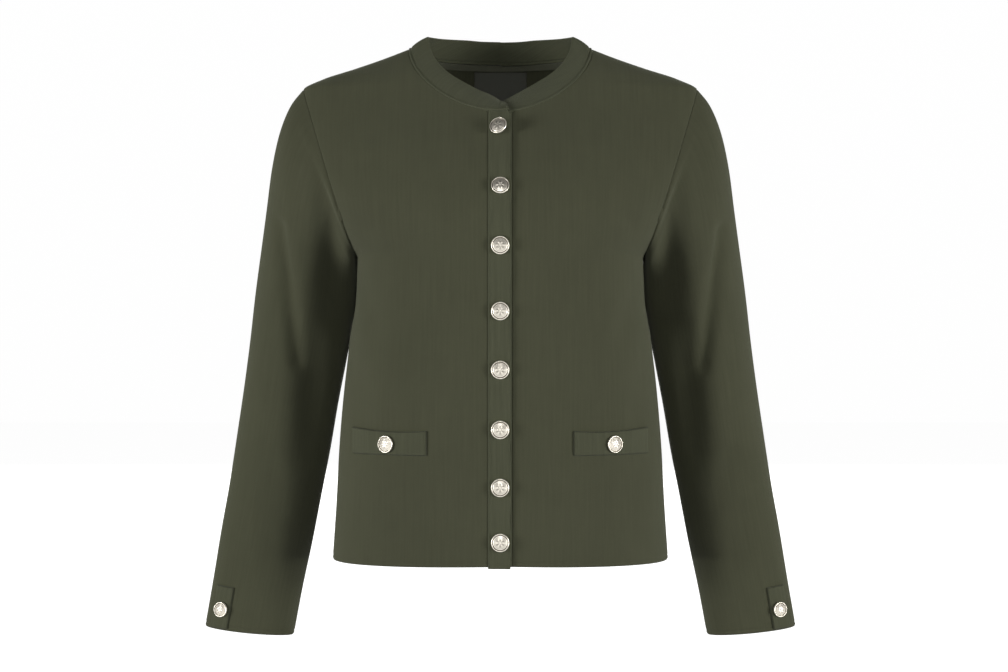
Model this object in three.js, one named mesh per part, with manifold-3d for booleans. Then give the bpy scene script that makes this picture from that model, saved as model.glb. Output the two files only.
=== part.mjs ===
// A short knit jacket-cardigan with a round neckband, long set-in sleeves, two hip welts, cuff tabs and
// metal buttons, filled out as when worn. Millimetres, +Z up. The front faces -Y and the wearer's left is
// +X. The origin is between the two neck points, the places where the shoulder seams meet the neckband.
import * as THREE from "three";
import { mergeVertices } from "three/addons/utils/BufferGeometryUtils.js";
import Module from "manifold-3d";

const wasm = await Module();
wasm.setup();

// Cloth and seams
const CLOTH = 1.6; // wall of a single knitted panel
const BAND_CLOTH = 2.2; // wall of the folded bands, welts and tabs
const TAPE_CLOTH = 1; // wall of the neck tape and the label
const SEAM = 0.3; // space between two pieces that are sewn together
const HALF_SEAM = SEAM / 2;

// Body: one row for each level section, "down" from the neck points. A section is half a flattened oval
// in front and half a one behind: half is its half width, front and back are its depths, square tells how
// boxy it is.
const BODY_SECTIONS = [
  { down: 0, half: 95, front: 24, back: 40, square: 2 },
  { down: 10, half: 121, front: 30, back: 50, square: 2 },
  { down: 21, half: 153, front: 36, back: 57, square: 2 },
  { down: 31, half: 184, front: 42, back: 62, square: 2 },
  { down: 42, half: 205, front: 48, back: 67, square: 2.05 },
  { down: 70, half: 210, front: 65, back: 77, square: 2.1 },
  { down: 104, half: 209, front: 86, back: 87, square: 2.2 },
  { down: 142, half: 198, front: 105, back: 97, square: 2.3 },
  { down: 174, half: 178, front: 117, back: 104, square: 2.35 },
  { down: 196, half: 163, front: 121, back: 106.5, square: 2.35 },
  { down: 210, half: 153, front: 122.5, back: 107.5, square: 2.32 },
  { down: 217, half: 148, front: 123, back: 108, square: 2.3 },
  { down: 264, half: 150, front: 125, back: 109, square: 2.3 },
  { down: 305, half: 157, front: 126, back: 110, square: 2.3 },
  { down: 363, half: 163, front: 127, back: 112, square: 2.25 },
  { down: 413, half: 167, front: 126, back: 115, square: 2.2 },
  { down: 470, half: 170, front: 124, back: 117, square: 2.2 },
  { down: 530, half: 174, front: 122, back: 118, square: 2.2 },
];
const UNDERARM = { out: 148, down: 217 };
const SHOULDER_TIP = { out: 205, down: 42 };
const HEM = { side: 528, middle: 524.8 }; // how far down the hem lies at the side seams and in the middle

// Neck
const NECK_HALF = 95; // half width of the neckline at the neck points
const FRONT_NECK_DROP = 71;
const BACK_NECK_DROP = 8;
const NECK_ROUND = 1.8; // how round the neckline is: 2 is an oval
const BAND_TOP_FRONT = 40; // depth of the neckband's free edge in front of the neck points
const BAND_TOP_BACK = 40;
const BAND_WIDE = 26; // width of the neckband
const BAND_BULGE = 1.4; // how far the neckband swells between its two edges
// Free edge of the neckband seen from the front, from the middle of the front round to the middle of the
// back
const BAND_TOP_EDGE = [
  { turn: 0, out: 0, rise: -57.5 },
  { turn: 15, out: 19, rise: -47.5 },
  { turn: 30, out: 38, rise: -37 },
  { turn: 45, out: 53.5, rise: -26.5 },
  { turn: 60, out: 65, rise: -14 },
  { turn: 75, out: 72, rise: 0 },
  { turn: 90, out: 74.5, rise: 13.8 },
  { turn: 120, out: 65, rise: 15 },
  { turn: 150, out: 38, rise: 15.4 },
  { turn: 180, out: 0, rise: 13.9 },
];

// Front bands
const BAND_HALF = 11.5; // half width of the button bands
const FREE_EDGE = 10.4; // how far from the middle the upper band's free edge lies
const TOP_BAND_LIFT = 1.3; // how far the upper band lies outside the fronts
const UNDER_BAND_SINK = 1.6; // how far the lower band lies inside them
const LAP_REACH = 30; // how far round the left front sinks towards its band
const TOP_BAND_DROP = 1.6; // how much longer the upper band is at the hem

// Sleeves: one row for each ring, from the armhole to the cuff. A ring spans from its outer to its inner
// edge; deep is its half depth and rear how far its middle lies behind the shoulder seam.
const SLEEVE_RINGS = [
  { ring: 0, outerOut: 205, outerDown: 42, innerOut: 148, innerDown: 217, deep: 59, rear: 0 },
  { ring: 1, outerOut: 217.5, outerDown: 58, innerOut: 149.8, innerDown: 221, deep: 59, rear: 2 },
  { ring: 2, outerOut: 229.3, outerDown: 86, innerOut: 149.6, innerDown: 226, deep: 59, rear: 5 },
  { ring: 3, outerOut: 238, outerDown: 124, innerOut: 149.4, innerDown: 233, deep: 58.5, rear: 9 },
  { ring: 4, outerOut: 244.2, outerDown: 167, innerOut: 149.5, innerDown: 244, deep: 58, rear: 13 },
  { ring: 5, outerOut: 250.6, outerDown: 211, innerOut: 150, innerDown: 262, deep: 57, rear: 16 },
  { ring: 6, outerOut: 256.8, outerDown: 257, innerOut: 155, innerDown: 290, deep: 55, rear: 17 },
  { ring: 7, outerOut: 262, outerDown: 304, innerOut: 161.8, innerDown: 326, deep: 52, rear: 16 },
  { ring: 8, outerOut: 267.8, outerDown: 350, innerOut: 169.5, innerDown: 366, deep: 48.5, rear: 14 },
  { ring: 9, outerOut: 275, outerDown: 401, innerOut: 177.6, innerDown: 415, deep: 44.5, rear: 11 },
  { ring: 10, outerOut: 282.2, outerDown: 450, innerOut: 186.7, innerDown: 463, deep: 40, rear: 8 },
  { ring: 11, outerOut: 290.8, outerDown: 500, innerOut: 195.9, innerDown: 512, deep: 35.5, rear: 5 },
  { ring: 12, outerOut: 298.6, outerDown: 550, innerOut: 206.1, innerDown: 561, deep: 31.5, rear: 2 },
  { ring: 13, outerOut: 306.8, outerDown: 598.5, innerOut: 214.7, innerDown: 607.9, deep: 28.5, rear: 0 },
];
const LAST_RING = SLEEVE_RINGS.length - 1;
const ARMHOLE_FADE = 5; // rings over which the armhole's own outline turns into an oval
// Soft troughs in a sleeve: a line from one ring and angle to another (0 is the outer edge, -90 the front)
const SLEEVE_TROUGHS = [
  { fromRing: 4.2, fromTurn: -59, toRing: 6.9, toTurn: -94, wide: 15, deep: 3.6 },
  { fromRing: 6.4, fromTurn: -116, toRing: 9, toTurn: -128, wide: 22, deep: 4.2 },
  { fromRing: 2.4, fromTurn: -130, toRing: 5.6, toTurn: -142, wide: 22, deep: 3 },
  { fromRing: 7, fromTurn: 150, toRing: 8.6, toTurn: 100, wide: 18, deep: 2.6 },
];

// Welts, tabs and buttons
const WELT = { inner: 71.8, outer: 148, mouthDown: 389.5, mouthSag: 3, sagFrom: 0.2, footDown: 416 };
const TAB = { fromRing: 12.12, toRing: 12.97, fromTurn: -66, toTurn: -34 };
// Heights of the front buttons, down from the neck points
const BUTTON_PLACES = [91.3, 150.6, 209.4, 273.7, 331.2, 389.6, 446.3, 500.2];
const FRONT_BUTTON = { radius: 9, shank: 3.2 };
const SMALL_BUTTON = { radius: 8.6, shank: 0.6 };
const CUFF_BUTTON = { radius: 7.7, shank: 0.6 };
const SHANK_RADIUS = 1.5;
// The top button hangs loose on a longer shank, upright and turned to one side.
const TOP_BUTTON = { radius: 9, shank: 7 };
const TOP_BUTTON_LEAN = { turn: -25, axis: 28, upright: 0.6, lift: 4.2, aside: -1.6 };
const BUTTONHOLE = { half: 8, round: 2.6 };

// Inside of the back neck
const TAPE = { from: 112, below: 1, wide: 6, clear: 0.6 };
const LABEL = { half: 28, top: 16.2, foot: 56 };

// Mesh steps
const NECK_COLUMNS = 8; // columns of half the back under its neckline
const PANEL_COLUMNS = 14;
const SKIRT_ROWS = 11;
const YOKE_ROWS = 14;
const CORNER_ROW = 5; // yoke row where a front's edge meets the neckline
const YOKE_EASE = 1.35; // how much closer the rows lie near the shoulder
const SLEEVE_COLUMNS = 24;
const SLEEVE_ROWS = 20;
const BAND_ROWS = 3;
const STRIP_ROWS = 24;
const BUTTON_SIDES = 14;

// Colours of the finishes
const KNIT = new THREE.MeshStandardMaterial({ color: 0x46483a, roughness: 0.9, metalness: 0 });
const BAND_KNIT = new THREE.MeshStandardMaterial({ color: 0x43453a, roughness: 0.88, metalness: 0 });
const TAPE_TWILL = new THREE.MeshStandardMaterial({ color: 0x3a3b30, roughness: 0.8, metalness: 0 });
const LABEL_CLOTH = new THREE.MeshStandardMaterial({ color: 0x28291f, roughness: 0.7, metalness: 0 });
const PALE_METAL = new THREE.MeshStandardMaterial({ color: 0xc8c2b2, roughness: 0.3, metalness: 1 });

const { clamp, lerp, smoothstep, degToRad } = THREE.MathUtils;
const BACK_WAY = new THREE.Vector3(0, 1, 0);

// A smooth curve through one column of a table, with no overshoot between its rows.
function curveThrough(rows, key, column) {
  const at = rows.map((row) => row[key]);
  const value = rows.map((row) => row[column]);
  const last = rows.length - 1;
  const rate = (i) => (value[i + 1] - value[i]) / (at[i + 1] - at[i]);
  const slope = at.map((_, i) => {
    if (i === 0) return rate(0);
    if (i === last) return rate(last - 1);
    const before = rate(i - 1);
    const after = rate(i);
    return before * after <= 0 ? 0 : (2 * before * after) / (before + after);
  });
  return (wanted) => {
    const x = clamp(wanted, at[0], at[last]);
    let i = 0;
    while (i < last - 1 && x > at[i + 1]) i += 1;
    const span = at[i + 1] - at[i];
    const t = (x - at[i]) / span;
    const t2 = t * t;
    const t3 = t2 * t;
    return (
      value[i] * (2 * t3 - 3 * t2 + 1) +
      value[i + 1] * (3 * t2 - 2 * t3) +
      slope[i] * span * (t3 - 2 * t2 + t) +
      slope[i + 1] * span * (t3 - t2)
    );
  };
}

// All columns of a table as curves, by name.
function curvesOf(rows, key) {
  const names = Object.keys(rows[0]).filter((name) => name !== key);
  return Object.fromEntries(names.map((name) => [name, curveThrough(rows, key, name)]));
}

const body = curvesOf(BODY_SECTIONS, "down");
const sleeve = curvesOf(SLEEVE_RINGS, "ring");
const bandEdge = curvesOf(BAND_TOP_EDGE, "turn");
const FRONT = { way: -1, depth: body.front };
const BACK = { way: 1, depth: body.back };

// Where the garment's surface lies, front or back, behind or before the shoulder seam at x and z.
function depthAt(side, x, z) {
  const power = body.square(-z);
  const reach = Math.max(0, 1 - Math.pow(Math.abs(x) / body.half(-z), power));
  return side.way * side.depth(-z) * Math.pow(reach, 1 / power);
}

function surfacePoint(side, x, z) {
  return new THREE.Vector3(x, depthAt(side, x, z), z);
}

// The way out of a surface given as a function of two numbers, at u and v; outward tells which of its two
// sides.
function normalOf(surface, u, v, outward, stepU, stepV) {
  const alongU = surface(u + stepU, v).sub(surface(u - stepU, v));
  const alongV = surface(u, v + stepV).sub(surface(u, v - stepV));
  return alongU.cross(alongV).normalize().multiplyScalar(outward);
}

function surfaceNormal(side, x, z) {
  const onSide = (across, up) => surfacePoint(side, across, up);
  const reach = 0.98 * body.half(-z);
  return normalOf(onSide, clamp(x, -reach, reach), z, -side.way, 1, 1);
}

// A point of the surface moved out by lift.
function lifted(side, x, z, lift) {
  return surfacePoint(side, x, z).addScaledVector(surfaceNormal(side, x, z), lift);
}

// The seam line of an armhole lies in one slanting plane, on both sides of the body.
const ARMHOLE_WAY = new THREE.Vector3(
  SHOULDER_TIP.down - UNDERARM.down,
  0,
  SHOULDER_TIP.out - UNDERARM.out,
)
  .normalize()
  .negate();
const ARMHOLE_SHIFT = ARMHOLE_WAY.dot(new THREE.Vector3(UNDERARM.out, 0, -UNDERARM.down));

// How far right of the middle the armhole line lies at a share of its height, trimmed back from its seam.
function armholeLine(share, trim) {
  return {
    x: lerp(UNDERARM.out, SHOULDER_TIP.out, share) - trim,
    z: -lerp(UNDERARM.down, SHOULDER_TIP.down, share),
  };
}

// The neckline seen from the front: turn 0 is the middle of the front, 90 the neck point, 180 the back's
// middle.
function necklineAt(turn) {
  const inFront = turn <= 90;
  const power = inFront ? 2 / NECK_ROUND : 1;
  const drop = inFront ? FRONT_NECK_DROP : BACK_NECK_DROP;
  return {
    x: NECK_HALF * Math.pow(Math.abs(Math.sin(degToRad(turn))), power),
    z: -drop * Math.pow(Math.abs(Math.cos(degToRad(turn))), power),
  };
}

// The sheet between four edges seen from the front: foot and head run sideways, left and right run up.
function blendEdges({ foot, head, left, right }) {
  return (u, v) => {
    const at = (name) =>
      (1 - v) * foot(u)[name] +
      v * head(u)[name] +
      (1 - u) * left(v)[name] +
      u * right(v)[name] -
      (1 - u) * (1 - v) * foot(0)[name] -
      u * (1 - v) * foot(1)[name] -
      (1 - u) * v * head(0)[name] -
      u * v * head(1)[name];
    return { x: at("x"), z: at("z") };
  };
}

const yokeShare = (row) => 1 - Math.pow(1 - row / YOKE_ROWS, YOKE_EASE);

// The turn at which the front neckline lies at x.
const neckTurnAt = (x) => (Math.asin(Math.pow(Math.abs(x) / NECK_HALF, NECK_ROUND / 2)) * 180) / Math.PI;
const FRONT_EDGE = BAND_HALF + HALF_SEAM; // where the fronts begin beside their bands
const FRONT_CORNER_TURN = neckTurnAt(FRONT_EDGE);

// The turn at which a row of a front's yoke meets the neckline.
function frontNeckTurn(row) {
  const share = (yokeShare(row) - yokeShare(CORNER_ROW)) / (1 - yokeShare(CORNER_ROW));
  return lerp(FRONT_CORNER_TURN, 90, share);
}

// One level row of the body from x = start to the side seam.
function rowPoint(side, start, u, z) {
  const half = body.half(-z);
  const power = body.square(-z);
  const first = Math.asin(Math.pow(start / half, power / 2));
  const turn = lerp(first, Math.PI / 2, u);
  return new THREE.Vector3(
    half * Math.pow(Math.sin(turn), 2 / power),
    side.way * side.depth(-z) * Math.pow(Math.max(0, Math.cos(turn)), 2 / power),
    z,
  );
}

// Rows of points of half a panel, from the hem to the shoulder. yoke gives x and z above the underarm,
// sink moves a point in.
function halfPanel(side, start, yoke, sink) {
  const rows = [];
  const place = (point) => {
    point.addScaledVector(surfaceNormal(side, point.x, point.z), -sink(point.x));
    point.y = side.way * Math.max(side.way * point.y, HALF_SEAM);
    return point;
  };
  const columns = Array.from({ length: PANEL_COLUMNS + 1 }, (_, i) => i / PANEL_COLUMNS);
  for (let j = 0; j < SKIRT_ROWS; j += 1) {
    const v = j / SKIRT_ROWS;
    rows.push(
      columns.map((u) => {
        const hem = lerp(HEM.middle, HEM.side, Math.sin((u * Math.PI) / 2));
        return place(rowPoint(side, start, u, -lerp(hem, UNDERARM.down, v)));
      }),
    );
  }
  for (let j = 0; j <= YOKE_ROWS; j += 1) {
    const v = yokeShare(j);
    rows.push(
      columns.map((u) => {
        const { x, z } = yoke(u, v);
        return place(surfacePoint(side, x, z));
      }),
    );
  }
  return rows;
}

const shoulderLine = (share) => {
  const down = SHOULDER_TIP.down * share;
  return { x: body.half(down), z: -down };
};
const trimmedArmhole = (share) => armholeLine(share, HALF_SEAM);

// The front's yoke runs up its band, turns along the neckline and ends at the shoulder seam.
const CORNER_SHARE = yokeShare(CORNER_ROW);
const frontYoke = blendEdges({
  foot: (u) => rowPoint(FRONT, FRONT_EDGE, u, -UNDERARM.down),
  head: shoulderLine,
  left: (v) =>
    v < CORNER_SHARE
      ? { x: FRONT_EDGE, z: lerp(-UNDERARM.down, necklineAt(FRONT_CORNER_TURN).z, v / CORNER_SHARE) }
      : necklineAt(lerp(FRONT_CORNER_TURN, 90, (v - CORNER_SHARE) / (1 - CORNER_SHARE))),
  right: trimmedArmhole,
});

// The back's yoke has a straight middle; its head is the neckline and then the shoulder seam.
const NECK_SHARE = NECK_COLUMNS / PANEL_COLUMNS;
const backYoke = blendEdges({
  foot: (u) => rowPoint(BACK, 0, u, -UNDERARM.down),
  head: (u) =>
    u < NECK_SHARE
      ? necklineAt(180 - (90 * u) / NECK_SHARE)
      : shoulderLine((u - NECK_SHARE) / (1 - NECK_SHARE)),
  left: (v) => ({ x: 0, z: -lerp(UNDERARM.down, BACK_NECK_DROP, v) }),
  right: trimmedArmhole,
});

// Ways out of the cloth at each point of a sheet of rows; round says that its rows close on themselves.
function normalsOf(rows, outward, round) {
  const last = rows.length - 1;
  const width = rows[0].length;
  return rows.map((row, j) =>
    row.map((_, i) => {
      const before = round ? (i + width - 1) % width : Math.max(i - 1, 0);
      const after = round ? (i + 1) % width : Math.min(i + 1, width - 1);
      const across = row[after].clone().sub(row[before]);
      const up = rows[Math.min(j + 1, last)][i].clone().sub(rows[Math.max(j - 1, 0)][i]);
      return across.cross(up).normalize().multiplyScalar(outward);
    }),
  );
}

// Keeps a step from the outer to the inner face on its own side of a seam plane, at the wall's full
// thickness.
function mitre(point, step, way, shift) {
  const reach = point.clone().add(step).dot(way);
  if (reach <= shift) return step;
  const slope = step.dot(way) / step.length();
  return step
    .clone()
    .addScaledVector(way, -step.dot(way))
    .multiplyScalar(1 / Math.max(0.3, 1 - slope * slope));
}

// The closed wall between an outer and an inner sheet of rows.
function closedWall(outer, inner, round) {
  const width = outer[0].length;
  const height = outer.length;
  const points = [...outer.flat(), ...inner.flat()];
  const insideStart = width * height;
  const index = [];
  const quad = (a, b, c, d) => index.push(a, b, c, a, c, d);
  const at = (i, j) => j * width + (i % width);
  const columns = round ? width : width - 1;
  for (let j = 0; j < height - 1; j += 1) {
    for (let i = 0; i < columns; i += 1) {
      const [a, b, c, d] = [at(i, j), at(i + 1, j), at(i + 1, j + 1), at(i, j + 1)];
      quad(a, b, c, d);
      quad(insideStart + d, insideStart + c, insideStart + b, insideStart + a);
    }
  }
  for (let i = 0; i < columns; i += 1) {
    quad(at(i + 1, 0), at(i, 0), insideStart + at(i, 0), insideStart + at(i + 1, 0));
    const top = height - 1;
    quad(at(i, top), at(i + 1, top), insideStart + at(i + 1, top), insideStart + at(i, top));
  }
  for (let j = 0; j < height - 1 && !round; j += 1) {
    quad(at(0, j), at(0, j + 1), insideStart + at(0, j + 1), insideStart + at(0, j));
    const side = width - 1;
    quad(at(side, j + 1), at(side, j), insideStart + at(side, j), insideStart + at(side, j + 1));
  }
  const geometry = new THREE.BufferGeometry().setFromPoints(points);
  geometry.setIndex(index);
  return facingOut(geometry);
}

// The same geometry with its faces turned out, whichever way its sheet was run.
function facingOut(geometry) {
  const place = geometry.getAttribute("position");
  const index = Array.from(geometry.getIndex().array);
  const [a, b, c] = [new THREE.Vector3(), new THREE.Vector3(), new THREE.Vector3()];
  let volume = 0;
  for (let i = 0; i < index.length; i += 3) {
    a.fromBufferAttribute(place, index[i]);
    b.fromBufferAttribute(place, index[i + 1]);
    c.fromBufferAttribute(place, index[i + 2]);
    volume += a.dot(b.cross(c));
  }
  if (volume < 0) geometry.setIndex(index.reverse());
  return geometry;
}

// A wall of a given thickness under a sheet of rows. seams lists planes that it stays behind; wayAt,
// where it is given, tells the way out of the cloth at a point.
function wallUnder(rows, { outward, thickness, seams = [], round = false, wayAt = null }) {
  const ways = wayAt
    ? rows.map((row, j) => row.map((point) => wayAt(point, j)))
    : normalsOf(rows, outward, round);
  const inner = rows.map((row, j) =>
    row.map((point, i) => {
      let step = ways[j][i].clone().multiplyScalar(-thickness);
      for (const { way, shift } of seams) step = mitre(point, step, way, shift);
      return point.clone().add(step);
    }),
  );
  return closedWall(rows, inner, round);
}

// The mirror image of a geometry across the middle of the body.
function mirrored(geometry) {
  const twin = geometry.clone();
  twin.scale(-1, 1, 1);
  return facingOut(twin);
}

const meshes = [];
function piece(name, geometry, material) {
  const mesh = new THREE.Mesh(geometry, material);
  mesh.name = name;
  meshes.push(mesh);
  return mesh;
}

const armholeSeam = { way: ARMHOLE_WAY, shift: ARMHOLE_SHIFT - HALF_SEAM };
const panelSeams = (side) => [
  armholeSeam,
  { way: BACK_WAY.clone().multiplyScalar(-side.way), shift: -HALF_SEAM },
];

// A front, built on the wearer's left; sink tells how far its free edge lies in.
function frontPanel(sink) {
  const sunk = (x) => sink * Math.exp(-Math.pow((x - FRONT_EDGE) / LAP_REACH, 2));
  const rows = halfPanel(FRONT, FRONT_EDGE, frontYoke, sunk);
  const wayAt = (point) => surfaceNormal(FRONT, point.x, point.z);
  return wallUnder(rows, { thickness: CLOTH, seams: panelSeams(FRONT), wayAt });
}

function backPanel() {
  const half = halfPanel(BACK, 0, backYoke, () => 0);
  const rows = half.map((row) => [
    ...row
      .slice(1)
      .reverse()
      .map((point) => new THREE.Vector3(-point.x, point.y, point.z)),
    ...row,
  ]);
  const seams = panelSeams(BACK);
  const twin = { way: armholeSeam.way.clone().setX(-armholeSeam.way.x), shift: armholeSeam.shift };
  const wayAt = (point) => surfaceNormal(BACK, point.x, point.z);
  return wallUnder(rows, { thickness: CLOTH, seams: [...seams, twin], wayAt });
}

// A point of the left sleeve's surface: ring counts from the armhole to the cuff, turn goes round.
function sleevePoint(ring, turn) {
  const angle = degToRad(turn);
  const across = Math.cos(angle);
  const outer = { x: sleeve.outerOut(ring), z: -sleeve.outerDown(ring) };
  const inner = { x: sleeve.innerOut(ring), z: -sleeve.innerDown(ring) };
  const x = lerp(inner.x, outer.x, (1 + across) / 2);
  const z = lerp(inner.z, outer.z, (1 + across) / 2);
  const line = armholeLine((1 + across) / 2, 0);
  const side = Math.sin(angle) < 0 ? FRONT : BACK;
  const atArmhole = depthAt(side, line.x, line.z);
  const atRing = sleeve.rear(ring) + sleeve.deep(ring) * Math.sin(angle);
  return new THREE.Vector3(x, lerp(atArmhole, atRing, smoothstep(ring, 0, ARMHOLE_FADE)), z);
}

function sleeveNormal(ring, turn) {
  const lowest = 0.05;
  return normalOf(sleevePoint, clamp(ring, lowest, LAST_RING - lowest), turn, 1, lowest, 2);
}

// How deep the soft troughs lie at a point of a sleeve.
function troughAt(ring, turn) {
  const ringHeight = 48;
  const turnWidth = 0.85;
  return SLEEVE_TROUGHS.reduce((sum, trough) => {
    const along = (ring - trough.fromRing) / (trough.toRing - trough.fromRing);
    const share = clamp(along, 0, 1);
    const lineTurn = lerp(trough.fromTurn, trough.toTurn, share);
    const across = (turn - lineTurn) * turnWidth;
    const past = (along - share) * (trough.toRing - trough.fromRing) * ringHeight;
    return sum + trough.deep * Math.exp(-(across * across + past * past) / (trough.wide * trough.wide));
  }, 0);
}

function sleeveSurface(ring, turn, lift = 0) {
  const centred = ((((turn + 180) % 360) + 360) % 360) - 180;
  return sleevePoint(ring, turn).addScaledVector(sleeveNormal(ring, turn), lift - troughAt(ring, centred));
}

function sleeveWall() {
  const rows = [];
  for (let j = 0; j <= SLEEVE_ROWS; j += 1) {
    const ring = LAST_RING * (j / SLEEVE_ROWS);
    const row = [];
    for (let i = 0; i < SLEEVE_COLUMNS; i += 1) row.push(sleeveSurface(ring, (360 * i) / SLEEVE_COLUMNS));
    rows.push(row);
  }
  rows[0].forEach((point) => point.addScaledVector(ARMHOLE_WAY, HALF_SEAM));
  const seam = { way: ARMHOLE_WAY.clone().negate(), shift: -ARMHOLE_SHIFT - HALF_SEAM };
  return wallUnder(rows, { outward: -1, thickness: CLOTH, seams: [seam], round: true });
}

// A strip that lies on a surface, of a number of columns and rows.
function stripOn(surface, { columns, rows, ...wall }) {
  const grid = [];
  for (let j = 0; j <= rows; j += 1) {
    const row = [];
    for (let i = 0; i <= columns; i += 1) row.push(surface(i / columns, j / rows));
    grid.push(row);
  }
  return wallUnder(grid, wall);
}

// The upper button band ends at the neck in a slanting corner.
const BAND_CORNER = { from: 7, slope: 1.7 };
const seamHeight = (x) => necklineAt(neckTurnAt(x)).z;

function frontBand(lift, extra, cut) {
  const surface = (u, v) => {
    const x = lerp(-BAND_HALF + HALF_SEAM, cut ? FREE_EDGE : BAND_HALF - HALF_SEAM, u);
    const corner = cut ? Math.max(0, x - BAND_CORNER.from) * BAND_CORNER.slope : 0;
    const z = lerp(-HEM.middle - extra, seamHeight(x) - SEAM - corner, v);
    return lifted(FRONT, x, z, lift);
  };
  const wayAt = (point) => surfaceNormal(FRONT, point.x, point.z);
  return stripOn(surface, { columns: 4, rows: STRIP_ROWS, thickness: BAND_CLOTH, wayAt });
}

// manifold-3d's solid of a closed geometry, and back.
function solidOf(geometry) {
  const bare = geometry.clone();
  bare.deleteAttribute("normal");
  bare.deleteAttribute("uv");
  const merged = mergeVertices(bare, 1e-3);
  return new wasm.Manifold(
    new wasm.Mesh({
      numProp: 3,
      vertProperties: new Float32Array(merged.getAttribute("position").array),
      triVerts: new Uint32Array(merged.getIndex().array),
    }),
  );
}

function geometryOf(solid) {
  const mesh = solid.getMesh();
  const geometry = new THREE.BufferGeometry();
  geometry.setAttribute("position", new THREE.BufferAttribute(mesh.vertProperties, 3));
  geometry.setIndex(new THREE.BufferAttribute(mesh.triVerts, 1));
  return geometry;
}

// Turns a shape that stands along Y so that it stands along way, at a place.
function standing(geometry, place, way) {
  const turn = new THREE.Quaternion().setFromUnitVectors(BACK_WAY, way);
  return geometry.clone().applyQuaternion(turn).translate(place.x, place.y, place.z);
}

// A buttonhole is an upright slot through the upper band, behind its button.
function buttonholeCutter(down) {
  const outline = new THREE.Shape();
  const { half, round } = BUTTONHOLE;
  outline.absarc(0, half - round, round, 0, Math.PI, false);
  outline.absarc(0, round - half, round, Math.PI, 2 * Math.PI, false);
  outline.closePath();
  const length = 12;
  const slot = new THREE.ExtrudeGeometry(outline, { depth: length, bevelEnabled: false, curveSegments: 3 });
  slot.translate(0, 0, -length / 2).rotateX(Math.PI / 2);
  const way = surfaceNormal(FRONT, 0, -down);
  return standing(slot, lifted(FRONT, 0, -down, 0), way.negate());
}

// A domed button with a raised rim and a groove inside it, on a shank that reaches in through the band.
// Its back is at the origin and it faces along Y.
function buttonGeometry({ radius, shank }) {
  const thick = 2.4;
  const profile = [
    [0, -shank],
    [SHANK_RADIUS, -shank],
    [SHANK_RADIUS, 0],
    [0.86 * radius, 0],
    [radius, 0.9],
    [0.97 * radius, thick],
    [0.84 * radius, thick],
    [0.78 * radius, 0.62 * thick],
    [0.68 * radius, 0.66 * thick],
    [0.4 * radius, 1.1 * thick],
    [0, 1.3 * thick],
  ];
  return new THREE.LatheGeometry(profile.map(([x, y]) => new THREE.Vector2(x, y)), BUTTON_SIDES);
}

function button(name, size, place, way) {
  const mesh = piece(name, buttonGeometry(size), PALE_METAL);
  mesh.position.copy(place);
  mesh.quaternion.setFromUnitVectors(BACK_WAY, way);
  return mesh;
}

// Fronts, back and button bands
piece("back", backPanel(), KNIT);
piece("front_left", frontPanel(UNDER_BAND_SINK), KNIT);
piece("front_right", mirrored(frontPanel(0)), KNIT);
piece("placket_under", frontBand(-UNDER_BAND_SINK, 0, false), BAND_KNIT);
const plainTopBand = solidOf(frontBand(TOP_BAND_LIFT, TOP_BAND_DROP, true));
const topBand = BUTTON_PLACES.reduce(
  (band, down) => band.subtract(solidOf(buttonholeCutter(down))),
  plainTopBand,
);
piece("placket_top", geometryOf(topBand), BAND_KNIT);

// Neckband: it turns from the middle of the front round the back to the front again, its ends lapping.
// turn runs from below 0, the upper end on the wearer's left, to above 360, the lower end on the wearer's
// right.
const BAND_LAP = { upper: -6.2, lower: 368.4, settle: 18 };
function bandLift(turn) {
  const fromEdge = Math.max(0, necklineAt(Math.abs(360 - turn)).x - FRONT_EDGE);
  const past = turn > 180 && turn < 360 ? fromEdge : 0;
  const lower = turn > 180 ? UNDER_BAND_SINK * Math.exp(-Math.pow(past / LAP_REACH, 2)) : 0;
  return TOP_BAND_LIFT * (1 - smoothstep(turn, FRONT_CORNER_TURN, BAND_LAP.settle)) - lower;
}

// The upper end of the neckband is cut round: how it falls away, in degrees of turn.
const END_CORNER = { from: 6, length: 12.4, least: 0.02 };

function bandPoint(turn, share) {
  const right = turn < 180;
  const round = right ? Math.abs(turn) : Math.abs(360 - turn);
  const way = (right ? -1 : 1) * (turn < 0 || turn > 360 ? -1 : 1);
  const seam = necklineAt(round);
  const side = round < 90 ? FRONT : BACK;
  const foot = surfacePoint(side, seam.x, seam.z);
  const frontShare = Math.cos(degToRad(round));
  const edge = new THREE.Vector3(
    bandEdge.out(round),
    -(frontShare > 0 ? BAND_TOP_FRONT : BAND_TOP_BACK) * frontShare,
    bandEdge.rise(round),
  );
  const past = Math.max(0, END_CORNER.from - turn) / END_CORNER.length;
  const corner = Math.sqrt(Math.max(END_CORNER.least, 1 - past * past));
  const trim = (2 * SEAM) / BAND_WIDE;
  const at = foot.clone().lerp(edge, lerp(trim, 1, share) * corner);
  const along = new THREE.Vector3(Math.cos(degToRad(round)), Math.sin(degToRad(round)), 0);
  const out = edge.clone().sub(foot).cross(along);
  if (out.y * (frontShare > 0 ? -1 : 1) + out.z < 0) out.negate();
  out.normalize();
  at.addScaledVector(out, BAND_BULGE * Math.sin(Math.PI * share));
  const sewnWay = surfaceNormal(side, seam.x, seam.z);
  at.addScaledVector(sewnWay.lerp(out, share).normalize(), bandLift(turn));
  at.x *= way;
  return at;
}

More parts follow.
